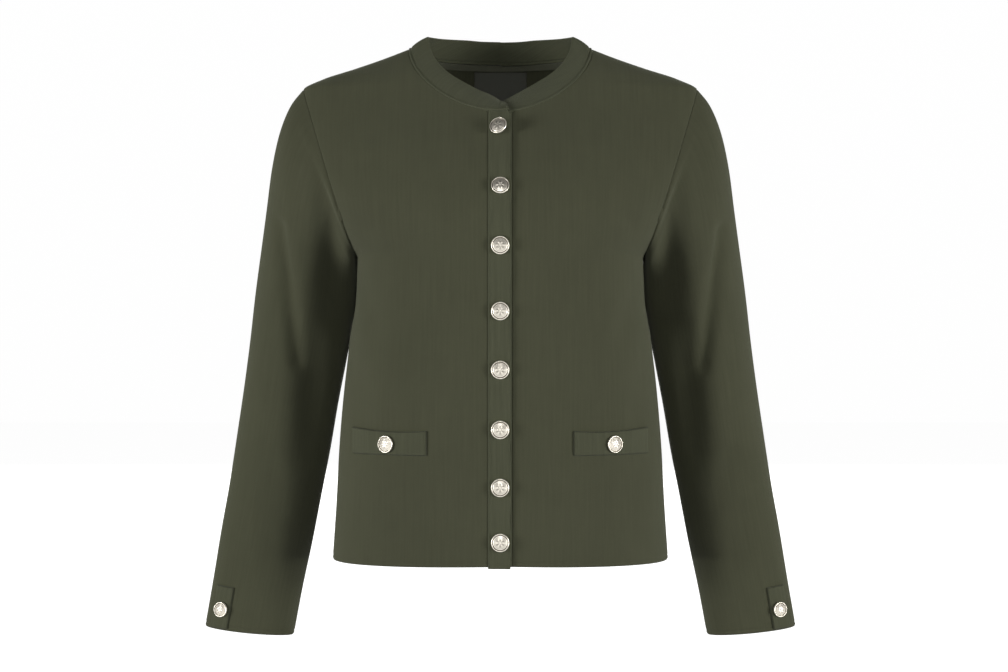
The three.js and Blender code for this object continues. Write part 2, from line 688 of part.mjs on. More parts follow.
// The band has a column at each point of the panels' neckline, so that the two lines stay side by side.
function bandTurns() {
  const half = [0, FRONT_CORNER_TURN / 2];
  for (let row = CORNER_ROW; row <= YOKE_ROWS; row += 1) half.push(frontNeckTurn(row));
  for (let i = 1; i <= NECK_COLUMNS; i += 1) half.push(90 + (90 * i) / NECK_COLUMNS);
  const otherHalf = half
    .slice(0, -1)
    .reverse()
    .map((turn) => 360 - turn);
  const { upper, lower } = BAND_LAP;
  return [upper, upper / 2, ...half, ...otherHalf, (360 + lower) / 2, lower];
}

function neckbandWall() {
  const rows = [];
  for (let j = 0; j <= BAND_ROWS; j += 1) {
    rows.push(bandTurns().map((turn) => bandPoint(turn, j / BAND_ROWS)));
  }
  const free = normalsOf(rows, -1, false);
  const sewn = rows[0].map((point) => surfaceNormal(point.y < 0 ? FRONT : BACK, point.x, point.z));
  const ways = new Map(rows.flatMap((row, j) => row.map((point, i) => [point, j ? free[j][i] : sewn[i]])));
  return wallUnder(rows, { thickness: BAND_CLOTH, wayAt: (point) => ways.get(point) });
}
piece("neckband", neckbandWall(), BAND_KNIT);

// Tape and label on the inside of the back
function tapeSurface(u, v) {
  const turn = lerp(TAPE.from, 360 - TAPE.from, u);
  const round = turn < 180 ? turn : 360 - turn;
  const seam = necklineAt(round);
  const at = lifted(BACK, seam.x, seam.z - TAPE.below - TAPE.wide * v, -CLOTH - TAPE.clear);
  at.x *= turn < 180 ? -1 : 1;
  return at;
}
const labelSurface = (u, v) =>
  lifted(BACK, lerp(-LABEL.half, LABEL.half, u), -lerp(LABEL.top, LABEL.foot, v), -CLOTH - TAPE.clear);
const tapeShape = { columns: 18, rows: 1, thickness: TAPE_CLOTH, outward: 1 };
piece("neck_tape", stripOn(tapeSurface, tapeShape), TAPE_TWILL);
piece("label", stripOn(labelSurface, { ...tapeShape, columns: 6, rows: 4 }), LABEL_CLOTH);

// Sleeves
piece("sleeve_left", sleeveWall(), KNIT);
piece("sleeve_right", mirrored(sleeveWall()), KNIT);

// Hip welts, sewn on over the fronts
function weltSurface(u, v) {
  const x = lerp(WELT.inner, WELT.outer, u);
  const mouth = WELT.mouthDown + WELT.mouthSag * Math.sin(Math.PI * lerp(WELT.sagFrom, 1, u));
  return lifted(FRONT, x, -lerp(WELT.footDown, mouth, v), BAND_CLOTH + SEAM);
}
const weltWall = stripOn(weltSurface, { columns: 10, rows: 3, thickness: BAND_CLOTH, outward: 1 });
piece("pocket_welt_left", weltWall, BAND_KNIT);
piece("pocket_welt_right", mirrored(weltWall), BAND_KNIT);

// Cuff tabs
const tabSurface = (u, v) =>
  sleeveSurface(
    lerp(TAB.toRing, TAB.fromRing, v),
    lerp(TAB.fromTurn, TAB.toTurn, u),
    BAND_CLOTH + SEAM,
  );
const tabWall = stripOn(tabSurface, { columns: 4, rows: 5, thickness: BAND_CLOTH, outward: 1 });
piece("cuff_tab_left", tabWall, BAND_KNIT);
piece("cuff_tab_right", mirrored(tabWall), BAND_KNIT);

// Buttons: the front ones stand on the upper band, the others on the welts and tabs
const BUTTON_RISE = 0.5; // space under a button
BUTTON_PLACES.forEach((down, i) => {
  const way = surfaceNormal(FRONT, 0, -down);
  const top = i === 0;
  const { turn, axis, upright, lift, aside } = TOP_BUTTON_LEAN;
  const place = lifted(FRONT, 0, -down, TOP_BAND_LIFT + BUTTON_RISE + (top ? lift : 0));
  if (top) {
    const longAxis = new THREE.Vector3(Math.sin(degToRad(axis)), 0, Math.cos(degToRad(axis)));
    way.lerp(BACK_WAY.clone().negate(), upright).normalize().applyAxisAngle(longAxis, degToRad(turn));
    place.x += aside;
  }
  button(`button_${i + 1}`, top ? TOP_BUTTON : FRONT_BUTTON, place, way);
});

const mirrorWay = (vector, side) => new THREE.Vector3(side * vector.x, vector.y, vector.z);
const pocketSpot = { x: 111.3, z: -405 };
const cuffSpot = { ring: 12.56, turn: -52 };
const onTrim = 2 * SEAM + BAND_CLOTH + SMALL_BUTTON.shank;
for (const [name, side] of [["left", 1], ["right", -1]]) {
  const pocketPlace = lifted(FRONT, pocketSpot.x, pocketSpot.z, onTrim);
  const pocketWay = surfaceNormal(FRONT, pocketSpot.x, pocketSpot.z);
  button(`pocket_button_${name}`, SMALL_BUTTON, mirrorWay(pocketPlace, side), mirrorWay(pocketWay, side));
  const cuffPlace = sleeveSurface(cuffSpot.ring, cuffSpot.turn, onTrim);
  const cuffWay = sleeveNormal(cuffSpot.ring, cuffSpot.turn);
  button(`cuff_button_${name}`, CUFF_BUTTON, mirrorWay(cuffPlace, side), mirrorWay(cuffWay, side));
}

const group = new THREE.Group();
group.add(...meshes);
export default group;
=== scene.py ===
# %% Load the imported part
import math

import bmesh
import bpy
import numpy as np
from mathutils import Matrix, Vector


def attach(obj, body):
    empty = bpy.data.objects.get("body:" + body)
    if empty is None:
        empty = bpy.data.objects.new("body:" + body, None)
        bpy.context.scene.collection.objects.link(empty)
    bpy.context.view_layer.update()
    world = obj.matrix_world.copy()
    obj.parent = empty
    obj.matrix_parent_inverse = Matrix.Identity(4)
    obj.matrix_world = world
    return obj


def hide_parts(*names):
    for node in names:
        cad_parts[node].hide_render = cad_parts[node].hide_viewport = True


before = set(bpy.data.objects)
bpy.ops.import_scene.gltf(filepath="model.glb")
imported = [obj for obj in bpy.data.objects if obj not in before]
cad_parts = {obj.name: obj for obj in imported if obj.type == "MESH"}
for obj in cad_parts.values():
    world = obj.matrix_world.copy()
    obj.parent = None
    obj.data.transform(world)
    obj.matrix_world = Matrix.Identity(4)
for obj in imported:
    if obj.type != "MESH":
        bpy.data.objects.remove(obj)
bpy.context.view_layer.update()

MM = 0.001  # the sizes below are in millimetres, as a pattern cutter writes them

# %% [markdown]
# The jacket is a body of two fronts and a back, two long set-in sleeves, and narrow bands at the neck
# and down the front. Its cloth is a fine double knit that holds its shape, so every panel is a smooth
# curved sheet. A sheet could be draped by simulation, but knitwear that is filled out hangs almost
# without folds, so each sheet is instead laid by a formula over the same body form that the solids
# have. A few soft troughs are then pressed in.

# %% Smooth curves through short tables
def curve_through(at, value):
    """A smooth curve through the rows of a table, with no overshoot between them."""
    at, value = np.asarray(at, float), np.asarray(value, float)
    rate = np.diff(value) / np.diff(at)
    slope = np.concatenate([rate[:1], np.zeros(len(at) - 2), rate[-1:]])
    before, after = rate[:-1], rate[1:]
    same_way = before * after > 0
    total = np.where(same_way, before + after, 1)
    slope[1:-1] = np.where(same_way, 2 * before * after / total, 0)

    def read(wanted):
        x = np.clip(wanted, at[0], at[-1])
        i = np.clip(np.searchsorted(at, x, side="right") - 1, 0, len(at) - 2)
        span = at[i + 1] - at[i]
        t = (x - at[i]) / span
        held = value[i] * (2 * t**3 - 3 * t**2 + 1) + value[i + 1] * (3 * t**2 - 2 * t**3)
        return held + span * (slope[i] * (t**3 - 2 * t**2 + t) + slope[i + 1] * (t**3 - t**2))

    return read


def table(columns, rows):
    """Curves by column name; the first column is what they are read by."""
    names = columns.split()
    values = np.array(rows, float).T
    return {name: curve_through(values[0], values[i]) for i, name in enumerate(names) if i}


def soft_step(x, low, high):
    t = np.clip((x - low) / (high - low), 0, 1)
    return t * t * (3 - 2 * t)


def mix(a, b, share):
    return a + (b - a) * share

# %% [markdown]
# The body under the cloth is flat and wide, like a real one. It could be sculpted, but every panel,
# band and button has to find its place on it, so it is a formula: level sections, each half of a
# flattened oval in front and another half behind, whose sizes follow smooth curves from shoulder to
# hem.

# %% The body form
# Level sections, "down" from the neck points: half width, front and back depth, and how boxy they are
BODY = table(
    "down half front back square",
    [
        (0, 95, 24, 40, 2),
        (10, 121, 30, 50, 2),
        (21, 153, 36, 57, 2),
        (31, 184, 42, 62, 2),
        (42, 205, 48, 67, 2.05),
        (70, 210, 65, 77, 2.1),
        (104, 209, 86, 87, 2.2),
        (142, 198, 105, 97, 2.3),
        (174, 178, 117, 104, 2.35),
        (196, 163, 121, 106.5, 2.35),
        (210, 153, 122.5, 107.5, 2.32),
        (217, 148, 123, 108, 2.3),
        (264, 150, 125, 109, 2.3),
        (305, 157, 126, 110, 2.3),
        (363, 163, 127, 112, 2.25),
        (413, 167, 126, 115, 2.2),
        (470, 170, 124, 117, 2.2),
        (530, 174, 122, 118, 2.2),
    ],
)
UNDERARM_OUT, UNDERARM_DOWN = 148, 217
TIP_OUT, TIP_DOWN = 205, 42
HEM_SIDE, HEM_MIDDLE = 528, 524.8
FRONT, BACK = -1, 1  # the way out of the body along Y
HALF_SEAM = 0.15  # sewn pieces lie twice this apart
SEAM = 2 * HALF_SEAM
SIDE_REACH = 0.98  # beyond this share of the half width the surface is too steep to measure its slope


def depth_at(side, x, z):
    """Y of the body's surface at x and z, in front (-1) or behind (1)."""
    power = BODY["square"](-z)
    reach = np.clip(1 - (np.abs(x) / BODY["half"](-z)) ** power, 0, 1)
    depth = BODY["front"](-z) if side == FRONT else BODY["back"](-z)
    return side * depth * reach ** (1 / power)


def body_normal(side, x, z):
    """The way out of the body's surface."""
    reach = SIDE_REACH * BODY["half"](-z)
    x = np.clip(x, -reach, reach)
    slope_x = (depth_at(side, x + 1, z) - depth_at(side, x - 1, z)) / 2
    slope_z = (depth_at(side, x, z + 1) - depth_at(side, x, z - 1)) / 2
    way = np.stack([-slope_x, np.ones_like(slope_x), -slope_z], -1) * side
    return way / np.linalg.norm(way, axis=-1, keepdims=True)


def on_body(side, x, z, lift=0):
    """Points of the body's surface, moved out by lift."""
    x, z = np.broadcast_arrays(np.asarray(x, float), np.asarray(z, float))
    points = np.stack([x, depth_at(side, x, z), z], -1)
    return points + body_normal(side, x, z) * np.asarray(lift)[..., None]


print("half width at the hem:", round(float(BODY["half"](HEM_SIDE)), 1), "mm")

# %% [markdown]
# Two lines decide how the jacket is cut: the round neckline, deep in front and shallow behind, and the
# straight slanting armhole. Bands and sleeves begin on them, so each is a function that several pieces
# share.

# %% The neckline and the armhole
NECK_HALF, FRONT_NECK_DROP, BACK_NECK_DROP = 95, 71, 8
NECK_ROUND = 1.8  # 2 would be an oval neckline, and less is straighter towards its ends
BAND_HALF = 11.5  # half width of the button bands
FRONT_EDGE = BAND_HALF + HALF_SEAM


def neckline(turn):
    """x and z of the neck seam: turn 0 is the middle front, 90 a neck point, 180 the middle back."""
    angle = np.radians(turn)
    power = np.where(turn <= 90, 2 / NECK_ROUND, 1)
    drop = np.where(turn <= 90, FRONT_NECK_DROP, BACK_NECK_DROP)
    return NECK_HALF * np.abs(np.sin(angle)) ** power, -drop * np.abs(np.cos(angle)) ** power


def neck_turn_at(x):
    return np.degrees(np.arcsin(np.clip(np.abs(x) / NECK_HALF, 0, 1) ** (NECK_ROUND / 2)))


def armhole_line(share):
    return mix(UNDERARM_OUT, TIP_OUT, share), -mix(UNDERARM_DOWN, TIP_DOWN, share)


armhole_way = np.array([TIP_DOWN - UNDERARM_DOWN, 0, TIP_OUT - UNDERARM_OUT], float)
armhole_way /= -np.linalg.norm(armhole_way)
print("neckline:", 2 * NECK_HALF, "mm wide,", FRONT_NECK_DROP, "mm deep in front")

# %% [markdown]
# A panel of cloth starts as a flat bmesh grid, as a cut piece lies on the table. Its points are then
# moved to where the form puts them. The grid's lines are closer together near the edges, because that
# is where the cloth rolls softly into a seam or round a hem. The UV map is measured along the cloth in
# metres, so that the knit runs the way it does on the real piece and every stitch has the same size.

# %% A sheet of cloth from a grid
def crowd(t, share=0.8):
    """Steps from 0 to 1 that lie closer together at both ends."""
    return t - share * np.sin(2 * np.pi * t) / (2 * np.pi)


def lengths(points, axis):
    """How far each point of a grid lies from its first row or column, along the cloth."""
    steps = np.linalg.norm(np.diff(points, axis=axis), axis=-1)
    return np.concatenate([np.zeros_like(np.take(steps, [0], axis)), np.cumsum(steps, axis)], axis)


def grid_normals(points, round_it=False):
    across = np.gradient(points, axis=1)
    if round_it:
        closed = (points[:, 1] - points[:, -2]) / 2
        across[:, 0] = across[:, -1] = closed
    way = np.cross(across, np.gradient(points, axis=0))
    return way / np.maximum(np.linalg.norm(way, axis=-1, keepdims=True), 1e-9)


class Cloth:
    """Points of a sheet on a grid, rows by columns, in millimetres, that can be pressed in or out."""

    def __init__(self, place, across, up, crowd_across=0.8, crowd_up=0.8, round_it=False, outward=1):
        self.u, self.v = np.meshgrid(
            crowd(np.linspace(0, 1, across + 1), crowd_across), crowd(np.linspace(0, 1, up + 1), crowd_up)
        )
        self.points = place(self.u, self.v)
        self.round_it, self.outward = round_it, outward
        self.along, self.high = lengths(self.points, 1), lengths(self.points, 0)
        # How far each point lies in a sharp fold, from 0 to 1: how much painted shade darkens its colour
        # there
        self.fold = np.zeros_like(self.u)

    def press(self, out):
        """Moves each point out of the sheet by so much."""
        way = grid_normals(self.points, self.round_it)
        self.points = self.points + way * (self.outward * out)[..., None]

    def from_edges(self):
        """How far each point lies from the left, right, lower and upper edge."""
        return self.along, self.along[:, -1:] - self.along, self.high, self.high[-1:] - self.high


def roll(distance, deep, wide):
    """How far the cloth's edge turns in, near a seam or a fold."""
    return -deep * np.clip(1 - distance / wide, 0, 1) ** 2


def sewn_line(distance, at, wide, deep):
    """How far a row of stitches draws the cloth in, along a line that lies so far from an edge."""
    return -deep * np.exp(-(((distance - at) / wide) ** 2))


# How deep and how wide the cloth rolls in at a seam, at a front edge and at a hem
SEAM_ROLL, FRONT_EDGE_ROLL, HEM_ROLL = (0.4, 2), (0.4, 1.8), (0.9, 2.2)
HEM_LINE = (4.0, 1.2, 0.35)  # a hem's stitches: distance from its edge, width and depth


def make_object(name, mesh_builder):
    mesh = bpy.data.meshes.new(name)
    mesh_builder.to_mesh(mesh)
    mesh_builder.free()
    made = bpy.data.objects.new(name, mesh)
    bpy.context.scene.collection.objects.link(made)
    mesh.shade_smooth()
    return made


def cloth_object(name, cloth, thick, uv_across=None, uv_up=None):
    """The mesh of a cloth: a grid moved to the cloth's points, with a thickness and a UV map in metres."""
    rows, columns = cloth.u.shape
    grid = bmesh.new()
    bmesh.ops.create_grid(grid, x_segments=columns - 1, y_segments=rows - 1, size=0.5)
    uv = grid.loops.layers.uv.new("cloth")
    uv_across = cloth.along if uv_across is None else uv_across
    uv_up = cloth.high if uv_up is None else uv_up
    # The fold attribute carries the mask of painted shade along sharp folds, which darkens the knit's colour
    fold = grid.verts.layers.float.new("fold")
    spots = {}
    for vertex in grid.verts:
        i = round((vertex.co.x + 0.5) * (columns - 1))
        j = round((vertex.co.y + 0.5) * (rows - 1))
        spots[vertex.index] = (j, i)
        vertex.co = Vector(cloth.points[j, i] * MM)
        vertex[fold] = cloth.fold[j, i]
    for face in grid.faces:
        for loop in face.loops:
            j, i = spots[loop.vert.index]
            loop[uv].uv = (uv_across[j, i] * MM, uv_up[j, i] * MM)
    if cloth.round_it:
        bmesh.ops.remove_doubles(grid, verts=grid.verts, dist=1e-6)
    if cloth.outward < 0:
        bmesh.ops.reverse_faces(grid, faces=grid.faces)
    made = make_object(name + "_cloth", grid)
    wide, long = round(cloth.along[:, -1].max()), round(cloth.high[-1].max())
    print(name, "measures", wide, "x", long, "mm along the cloth")
    wall = made.modifiers.new("cloth", "SOLIDIFY")
    wall.thickness = thick * MM
    wall.offset = -1
    wall.use_even_offset = False
    return made


def add_piece(made, material, nodes):
    """Gives a finished piece its material and its place in the frame."""
    made.data.materials.append(material)
    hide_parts(*nodes)
    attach(made, "root")
    print(made.name, "faces", len(made.data.polygons))
    return made

# %% [markdown]
# Finishes are node trees. Writing each sum as boxes and wires in code is hard to read, so one small
# class stands for a wire: adding or multiplying two of them adds the Math node that does it. Every
# other node comes from one method. The knit is a pattern of small V-shaped stitches that follows the UV
# map of each piece, in real millimetres, with slow changes of tone over it, as dyed yarn has. Only the
# bump and the colour change over the cloth.

# %% Shader helpers
class Wire:
    """A socket of a node tree that can be used in a sum."""

    def __init__(self, tree, socket):
        self.tree, self.socket = tree, socket

    def math(self, operation, *others):
        node = self.tree.nodes.new("ShaderNodeMath")
        node.operation = operation
        for place, value in zip(node.inputs, (self, *others)):
            if isinstance(value, Wire):
                self.tree.links.new(value.socket, place)
            else:
                place.default_value = value
        return Wire(self.tree, node.outputs[0])

    def __add__(self, other):
        return self.math("ADD", other)

    def __mul__(self, other):
        return self.math("MULTIPLY", other)

    def __sub__(self, other):
        return self.math("SUBTRACT", other)

    def __rsub__(self, other):
        return (self * -1) + other

    def __truediv__(self, other):
        return self.math("DIVIDE", other)

    def __pow__(self, other):
        return self.math("POWER", other)

    def __abs__(self):
        return self.math("ABSOLUTE")

    __radd__, __rmul__ = __add__, __mul__


class Finish:
    """A material whose nodes are added by one method."""

    def __init__(self, name, **constants):
        self.material = bpy.data.materials.new(name)
        self.material.use_nodes = True
        self.tree = self.material.node_tree
        self.surface = self.tree.nodes["Principled BSDF"]
        for socket, value in constants.items():
            self.surface.inputs[socket.replace("_", " ")].default_value = value

    def node(self, kind, output=0, settings=None, **inputs):
        """Adds a node: its settings first, then the values or wires of its sockets."""
        made = self.tree.nodes.new("ShaderNode" + kind)
        for name, value in (settings or {}).items():
            setattr(made, name, value)
        for name, value in inputs.items():
            socket = made.inputs[name.replace("_", " ")]
            if isinstance(value, Wire):
                self.tree.links.new(value.socket, socket)
            else:
                socket.default_value = value
        return Wire(self.tree, made.outputs[output])

    def drive(self, name, wire):
        self.tree.links.new(wire.socket, self.surface.inputs[name])

    def along_cloth(self):
        """A point's place on its piece's cloth in metres: across, up, and both as one."""
        place = self.node("UVMap", settings={"uv_map": "cloth"})
        split = self.tree.nodes.new("ShaderNodeSeparateXYZ")
        self.tree.links.new(place.socket, split.inputs[0])
        return Wire(self.tree, split.outputs[0]), Wire(self.tree, split.outputs[1]), place

    def noise(self, place, scale, detail=2.0, rough=0.5):
        return self.node("TexNoise", Vector=place, Scale=scale, Detail=detail, Roughness=rough)

    def blend(self, share, first, second):
        """Mixes two colours by a share."""
        made = self.tree.nodes.new("ShaderNodeMix")
        made.data_type = "RGBA"
        self.tree.links.new(share.socket, made.inputs[0])
        for place, value in ((6, first), (7, second)):
            if isinstance(value, Wire):
                self.tree.links.new(value.socket, made.inputs[place])
            else:
                made.inputs[place].default_value = (*value, 1)
        return Wire(self.tree, made.outputs[2])

# %% [markdown]
# Close up, a double knit is columns of small V stitches. Modelling them would take millions of faces,
# so they are worked out from the UV map: how far a point lies from the middle of its column gives the
# two legs of the V, and a row that slants with the legs gives its point. Fuzz, thick places in the yarn
# and faint streaks lie over them.

# %% The knit
PAINTED_FOLD_SHADE, PAINTED_FOLD_SHARE = 0.3, 0.85  # painted shade in sharp folds: its colour beside the darkest yarn, and how far it takes over


def knit_finish(name, dark, light, wale=1.25, course=1.0, bump=0.35, streaky=0.5, streaks=420.0):
    """Double knit: columns of V stitches, wale mm apart, with rows course mm apart."""
    finish = Finish(name, Roughness=0.92, Sheen_Weight=0.25, Sheen_Roughness=0.5, Specular_IOR_Level=0.25)
    finish.surface.inputs["Sheen Tint"].default_value = (0.45, 0.47, 0.36, 1)
    across, up, place = finish.along_cloth()
    leg = abs((across / (wale * MM)).math("FRACT") - 0.5) * 2
    row = (up / (course * MM) + leg * 0.6).math("FRACT")
    stitch = (1 - abs(row - 0.5) * 2).math("SMOOTH_MIN", 0.8, 0.2) * (leg * math.pi).math("SINE")
    solid = finish.node("TexCoord", output=3)
    fuzz = finish.noise(solid, scale=900.0, detail=3.0, rough=0.6)
    slub = finish.noise(solid, scale=55.0, detail=3.0, rough=0.55)
    cloud = finish.noise(solid, scale=9.0)
    lengthwise = finish.node("Mapping", Vector=place, Scale=(streaks, 14.0, 1.0))
    streak = finish.noise(lengthwise, scale=1.0, rough=0.6)
    tone = stitch * 0.3 + fuzz * 0.3 + slub * 0.2 + cloud * 0.3 + streak * streaky - 0.05 - streaky * 0.5
    tone = tone.math("MINIMUM", 1.0).math("MAXIMUM", 0.0)
    # Painted shade: where the fold attribute marks a sharp fold, the colour darkens towards a near-black
    # yarn tone, standing in for the shadow there
    fold = finish.node("Attribute", output=2, settings={"attribute_name": "fold"})
    painted_shade = tuple(PAINTED_FOLD_SHADE * value for value in dark)
    finish.drive("Base Color", finish.blend(fold * PAINTED_FOLD_SHARE, finish.blend(tone, dark, light), painted_shade))
    height = stitch * 0.6 + fuzz * 0.5 + slub * 0.35
    relief = finish.node("Bump", Height=height, Strength=bump, Distance=0.35 * MM)
    finish.drive("Normal", relief)
    return finish.material


KNIT_DARK, KNIT_LIGHT = (0.034, 0.036, 0.018), (0.066, 0.068, 0.038)
BAND_DARK, BAND_LIGHT = (0.040, 0.043, 0.023), (0.072, 0.076, 0.044)
knit = knit_finish("fine_knit", KNIT_DARK, KNIT_LIGHT)
band_knit = knit_finish(
    "band_knit", BAND_DARK, BAND_LIGHT, wale=1.9, course=1.1, bump=0.6, streaky=0.9, streaks=330.0
)
print("knit finishes:", knit.name, "and", band_knit.name)

# %% [markdown]
# The two fronts are cut alike, from hem to shoulder, and end beside the button bands. Above the
# underarm the sheet is held by four edges: the armhole, the shoulder, the front edge with the neckline,
# and the level line below. Blending the edges gives its points seen from the front, and the body form
# gives their depth.

# %% The panels
FRONT_ROWS, FRONT_COLUMNS = 200, 96
SKIRT_SHARE = 0.5  # share of a panel's rows that lie below the underarm
CORNER_SHARE = 0.449  # share of the yoke's front edge that lies below the neckline
YOKE_CROWD = 1.35  # brings the yoke's rows closer together towards the shoulder
CLOTH_THICK = 1.5


def row_points(side, start, u, z):
    """A level row of the body, from x = start to the side seam."""
    half, power = BODY["half"](-z), BODY["square"](-z)
    first = np.arcsin((start / half) ** (power / 2))
    turn = mix(first, np.pi / 2, u)
    depth = BODY["front"](-z) if side == FRONT else BODY["back"](-z)
    y = side * depth * np.clip(np.cos(turn), 0, 1) ** (2 / power)
    return np.stack([half * np.sin(turn) ** (2 / power), y, z], -1)


def shoulder_line(share):
    return BODY["half"](TIP_DOWN * share), -TIP_DOWN * share


def blended(u, v, foot, head, left, right):
    """x and z of the sheet between four edges seen from the front."""
    zero, one = np.zeros_like(u), np.ones_like(u)
    parts = []
    for axis in (0, 1):
        corners = (
            (1 - u) * (1 - v) * foot(zero)[axis]
            + u * (1 - v) * foot(one)[axis]
            + (1 - u) * v * head(zero)[axis]
            + u * v * head(one)[axis]
        )
        sides = (1 - v) * foot(u)[axis] + v * head(u)[axis] + (1 - u) * left(v)[axis] + u * right(v)[axis]
        parts.append(sides - corners)
    return parts


def trimmed_armhole(share):
    x, z = armhole_line(share)
    return x - HALF_SEAM, z


def front_yoke(u, v):
    corner_turn = neck_turn_at(FRONT_EDGE)
    corner_z = neckline(corner_turn)[1]

    def foot(u):
        points = row_points(FRONT, FRONT_EDGE, u, np.full_like(u, -UNDERARM_DOWN))
        return points[..., 0], points[..., 2]

    def left(v):
        up = np.clip(v / CORNER_SHARE, 0, 1)
        turn = mix(corner_turn, 90, np.clip((v - CORNER_SHARE) / (1 - CORNER_SHARE), 0, 1))
        x, z = neckline(turn)
        below = v < CORNER_SHARE
        return np.where(below, FRONT_EDGE, x), np.where(below, mix(-UNDERARM_DOWN, corner_z, up), z)

    return blended(u, v, foot, shoulder_line, left, trimmed_armhole)


NECK_SHARE = 8 / 14  # share of the back's head that is neckline


def back_yoke(u, v):
    def foot(u):
        points = row_points(BACK, 0, u, np.full_like(u, -UNDERARM_DOWN))
        return points[..., 0], points[..., 2]

    def head(u):
        neck = neckline(180 - 90 * np.clip(u / NECK_SHARE, 0, 1))
        shoulder = shoulder_line(np.clip((u - NECK_SHARE) / (1 - NECK_SHARE), 0, 1))
        return [np.where(u < NECK_SHARE, a, b) for a, b in zip(neck, shoulder)]

    def left(v):
        return np.zeros_like(v), -mix(UNDERARM_DOWN, BACK_NECK_DROP, v)

    return blended(u, v, foot, head, left, trimmed_armhole)


def half_panel(side, start, yoke):
    """The place of each point of a panel from x = start to the side seam: skirt below, yoke above."""

    def place(u, v):
        low = np.clip(v / SKIRT_SHARE, 0, 1)
        high = np.clip((v - SKIRT_SHARE) / (1 - SKIRT_SHARE), 0, 1)
        hem = mix(HEM_MIDDLE, HEM_SIDE, np.sin(u * np.pi / 2))
        skirt = row_points(side, start, u, -mix(hem, UNDERARM_DOWN, low))
        x, z = yoke(u, 1 - (1 - high) ** YOKE_CROWD)
        upper = np.stack([x, depth_at(side, x, z), z], -1)
        points = np.where((v < SKIRT_SHARE)[..., None], skirt, upper)
        points[..., 1] = side * np.maximum(side * points[..., 1], HALF_SEAM)
        return points

    return place


def around_body(side, points, steps=40):
    """How far round its level section a point lies from the middle of the body, and its height."""
    x, z = np.abs(points[..., 0]), points[..., 2]
    shares = np.linspace(0, 1, steps)[:, None, None]
    reach = np.minimum(x, 0.999 * BODY["half"](-z))
    level = np.stack([reach * shares, depth_at(side, reach * shares, z)], -1)
    along = np.linalg.norm(np.diff(level, axis=0), axis=-1).sum(0) * np.sign(points[..., 0])
    return along, z

# %% [markdown]
# Filled knitwear keeps a few soft creases: from the armhole towards the bust, down from the underarm
# and out of the waist. Each is a line with a width and a depth, and its trough fades out at both ends.

# %% Creases
def crease(points, start, end, wide, deep):
    """A soft trough along a line in the front view, from start to end (x, z)."""
    start, end = np.array(start, float), np.array(end, float)
    way = end - start
    length = np.linalg.norm(way)
    way /= length
    spot = points[..., [0, 2]] - start
    along = spot @ way
    across = spot[..., 0] * way[1] - spot[..., 1] * way[0]
    fade = soft_step(along, -0.25 * length, 0.3 * length) * soft_step(-along, -1.25 * length, -0.7 * length)
    return -deep * fade * np.exp(-((across / wide) ** 2))


FRONT_CREASES = [  # start x, start z, end x, end z, width, depth, on the wearer's left
    (140, -194, 108, -156, 9, 1.6),
    (137, -250, 116, -310, 12, 1.8),
    (150, -300, 134, -400, 13, 1.5),
    (70, -230, 62, -370, 20, 0.9),
    (40, -430, 46, -515, 16, 0.8),
    (128, -440, 134, -518, 14, 1.2),
    (165, -95, 150, -140, 10, 1.0),
]
BACK_CREASES = [
    (150, -215, 95, -175, 10, 1.7),
    (-148, -228, -90, -190, 11, 1.5),
    (140, -250, 110, -350, 14, 1.8),
    (-144, -262, -116, -380, 13, 1.6),
    (30, -300, 52, -500, 22, 1.3),
    (-42, -330, -36, -505, 20, 1.1),
    (120, -420, 112, -515, 15, 1.3),
    (-96, -400, -110, -515, 16, 1.2),
    (168, -85, 140, -150, 12, 1.2),
    (-170, -95, -138, -160, 12, 1.0),
]
# The fronts lie apart where one laps the other: the left one sinks, and the upper band is lifted
UNDER_BAND_SINK, TOP_BAND_LIFT, LAP_REACH = 1.6, 1.3, 30
NECK_SIDE, SHOULDER_FADE = 0.93, 9  # where the shoulder seam begins, in neck half widths, and its reach


def close_shoulder(cloth, side):
    """Draws a panel's upper edge onto the shoulder line, where front and back are sewn together."""
    edge = cloth.points[-1]
    share = np.clip((np.abs(edge[:, 0]) / NECK_HALF - NECK_SIDE) / (1 - NECK_SIDE), 0, 1)
    missing = (side * HALF_SEAM - edge[:, 1]) * share
    fade = np.exp(-(((cloth.high[-1:] - cloth.high) / SHOULDER_FADE) ** 2))
    cloth.points[..., 1] += missing * fade


def front_panel(name, mirror, creases, sink):
    cloth = Cloth(half_panel(FRONT, FRONT_EDGE, front_yoke), FRONT_COLUMNS, FRONT_ROWS)
    edge, outer, hem, head = cloth.from_edges()
    x = cloth.points[..., 0]
    out = -sink * np.exp(-(((x - FRONT_EDGE) / LAP_REACH) ** 2))
    for x0, z0, x1, z1, wide, deep in creases:
        out = out + crease(cloth.points, (x0, z0), (x1, z1), wide, deep)
    out = out + roll(edge, *FRONT_EDGE_ROLL) + roll(outer, *SEAM_ROLL) + roll(head, *SEAM_ROLL)
    out = out + roll(hem, *HEM_ROLL) + sewn_line(hem, *HEM_LINE)
    cloth.press(out)
    close_shoulder(cloth, FRONT)
    across, up = around_body(FRONT, cloth.points)
    if mirror:
        cloth.points[..., 0] *= -1
        cloth.outward = -1
        across = -across
    made = cloth_object(name, cloth, CLOTH_THICK, across, up)
    add_piece(made, knit, [name])


front_panel("front_left", False, FRONT_CREASES, UNDER_BAND_SINK)
RIGHT_CREASES = [  # the same front on the wearer's right, with creases of its own
    (139, -196, 104, -164, 10, 1.4),
    (138, -248, 120, -306, 11, 1.6),
    (151, -306, 132, -410, 14, 1.7),
    (84, -220, 70, -350, 19, 0.8),
    (54, -440, 50, -518, 15, 0.9),
    (122, -436, 130, -516, 15, 1.0),
    (166, -100, 148, -148, 11, 0.9),
]
front_panel("front_right", True, RIGHT_CREASES, 0)

# %% [markdown]
# The back is one piece, cut on the fold of the cloth. Half a panel is laid as before, and the other
# half is its mirror image, so one grid runs from side seam to side seam. Only its creases differ from
# left to right.

# %% The back
BACK_COLUMNS, BACK_ROWS = 150, 170


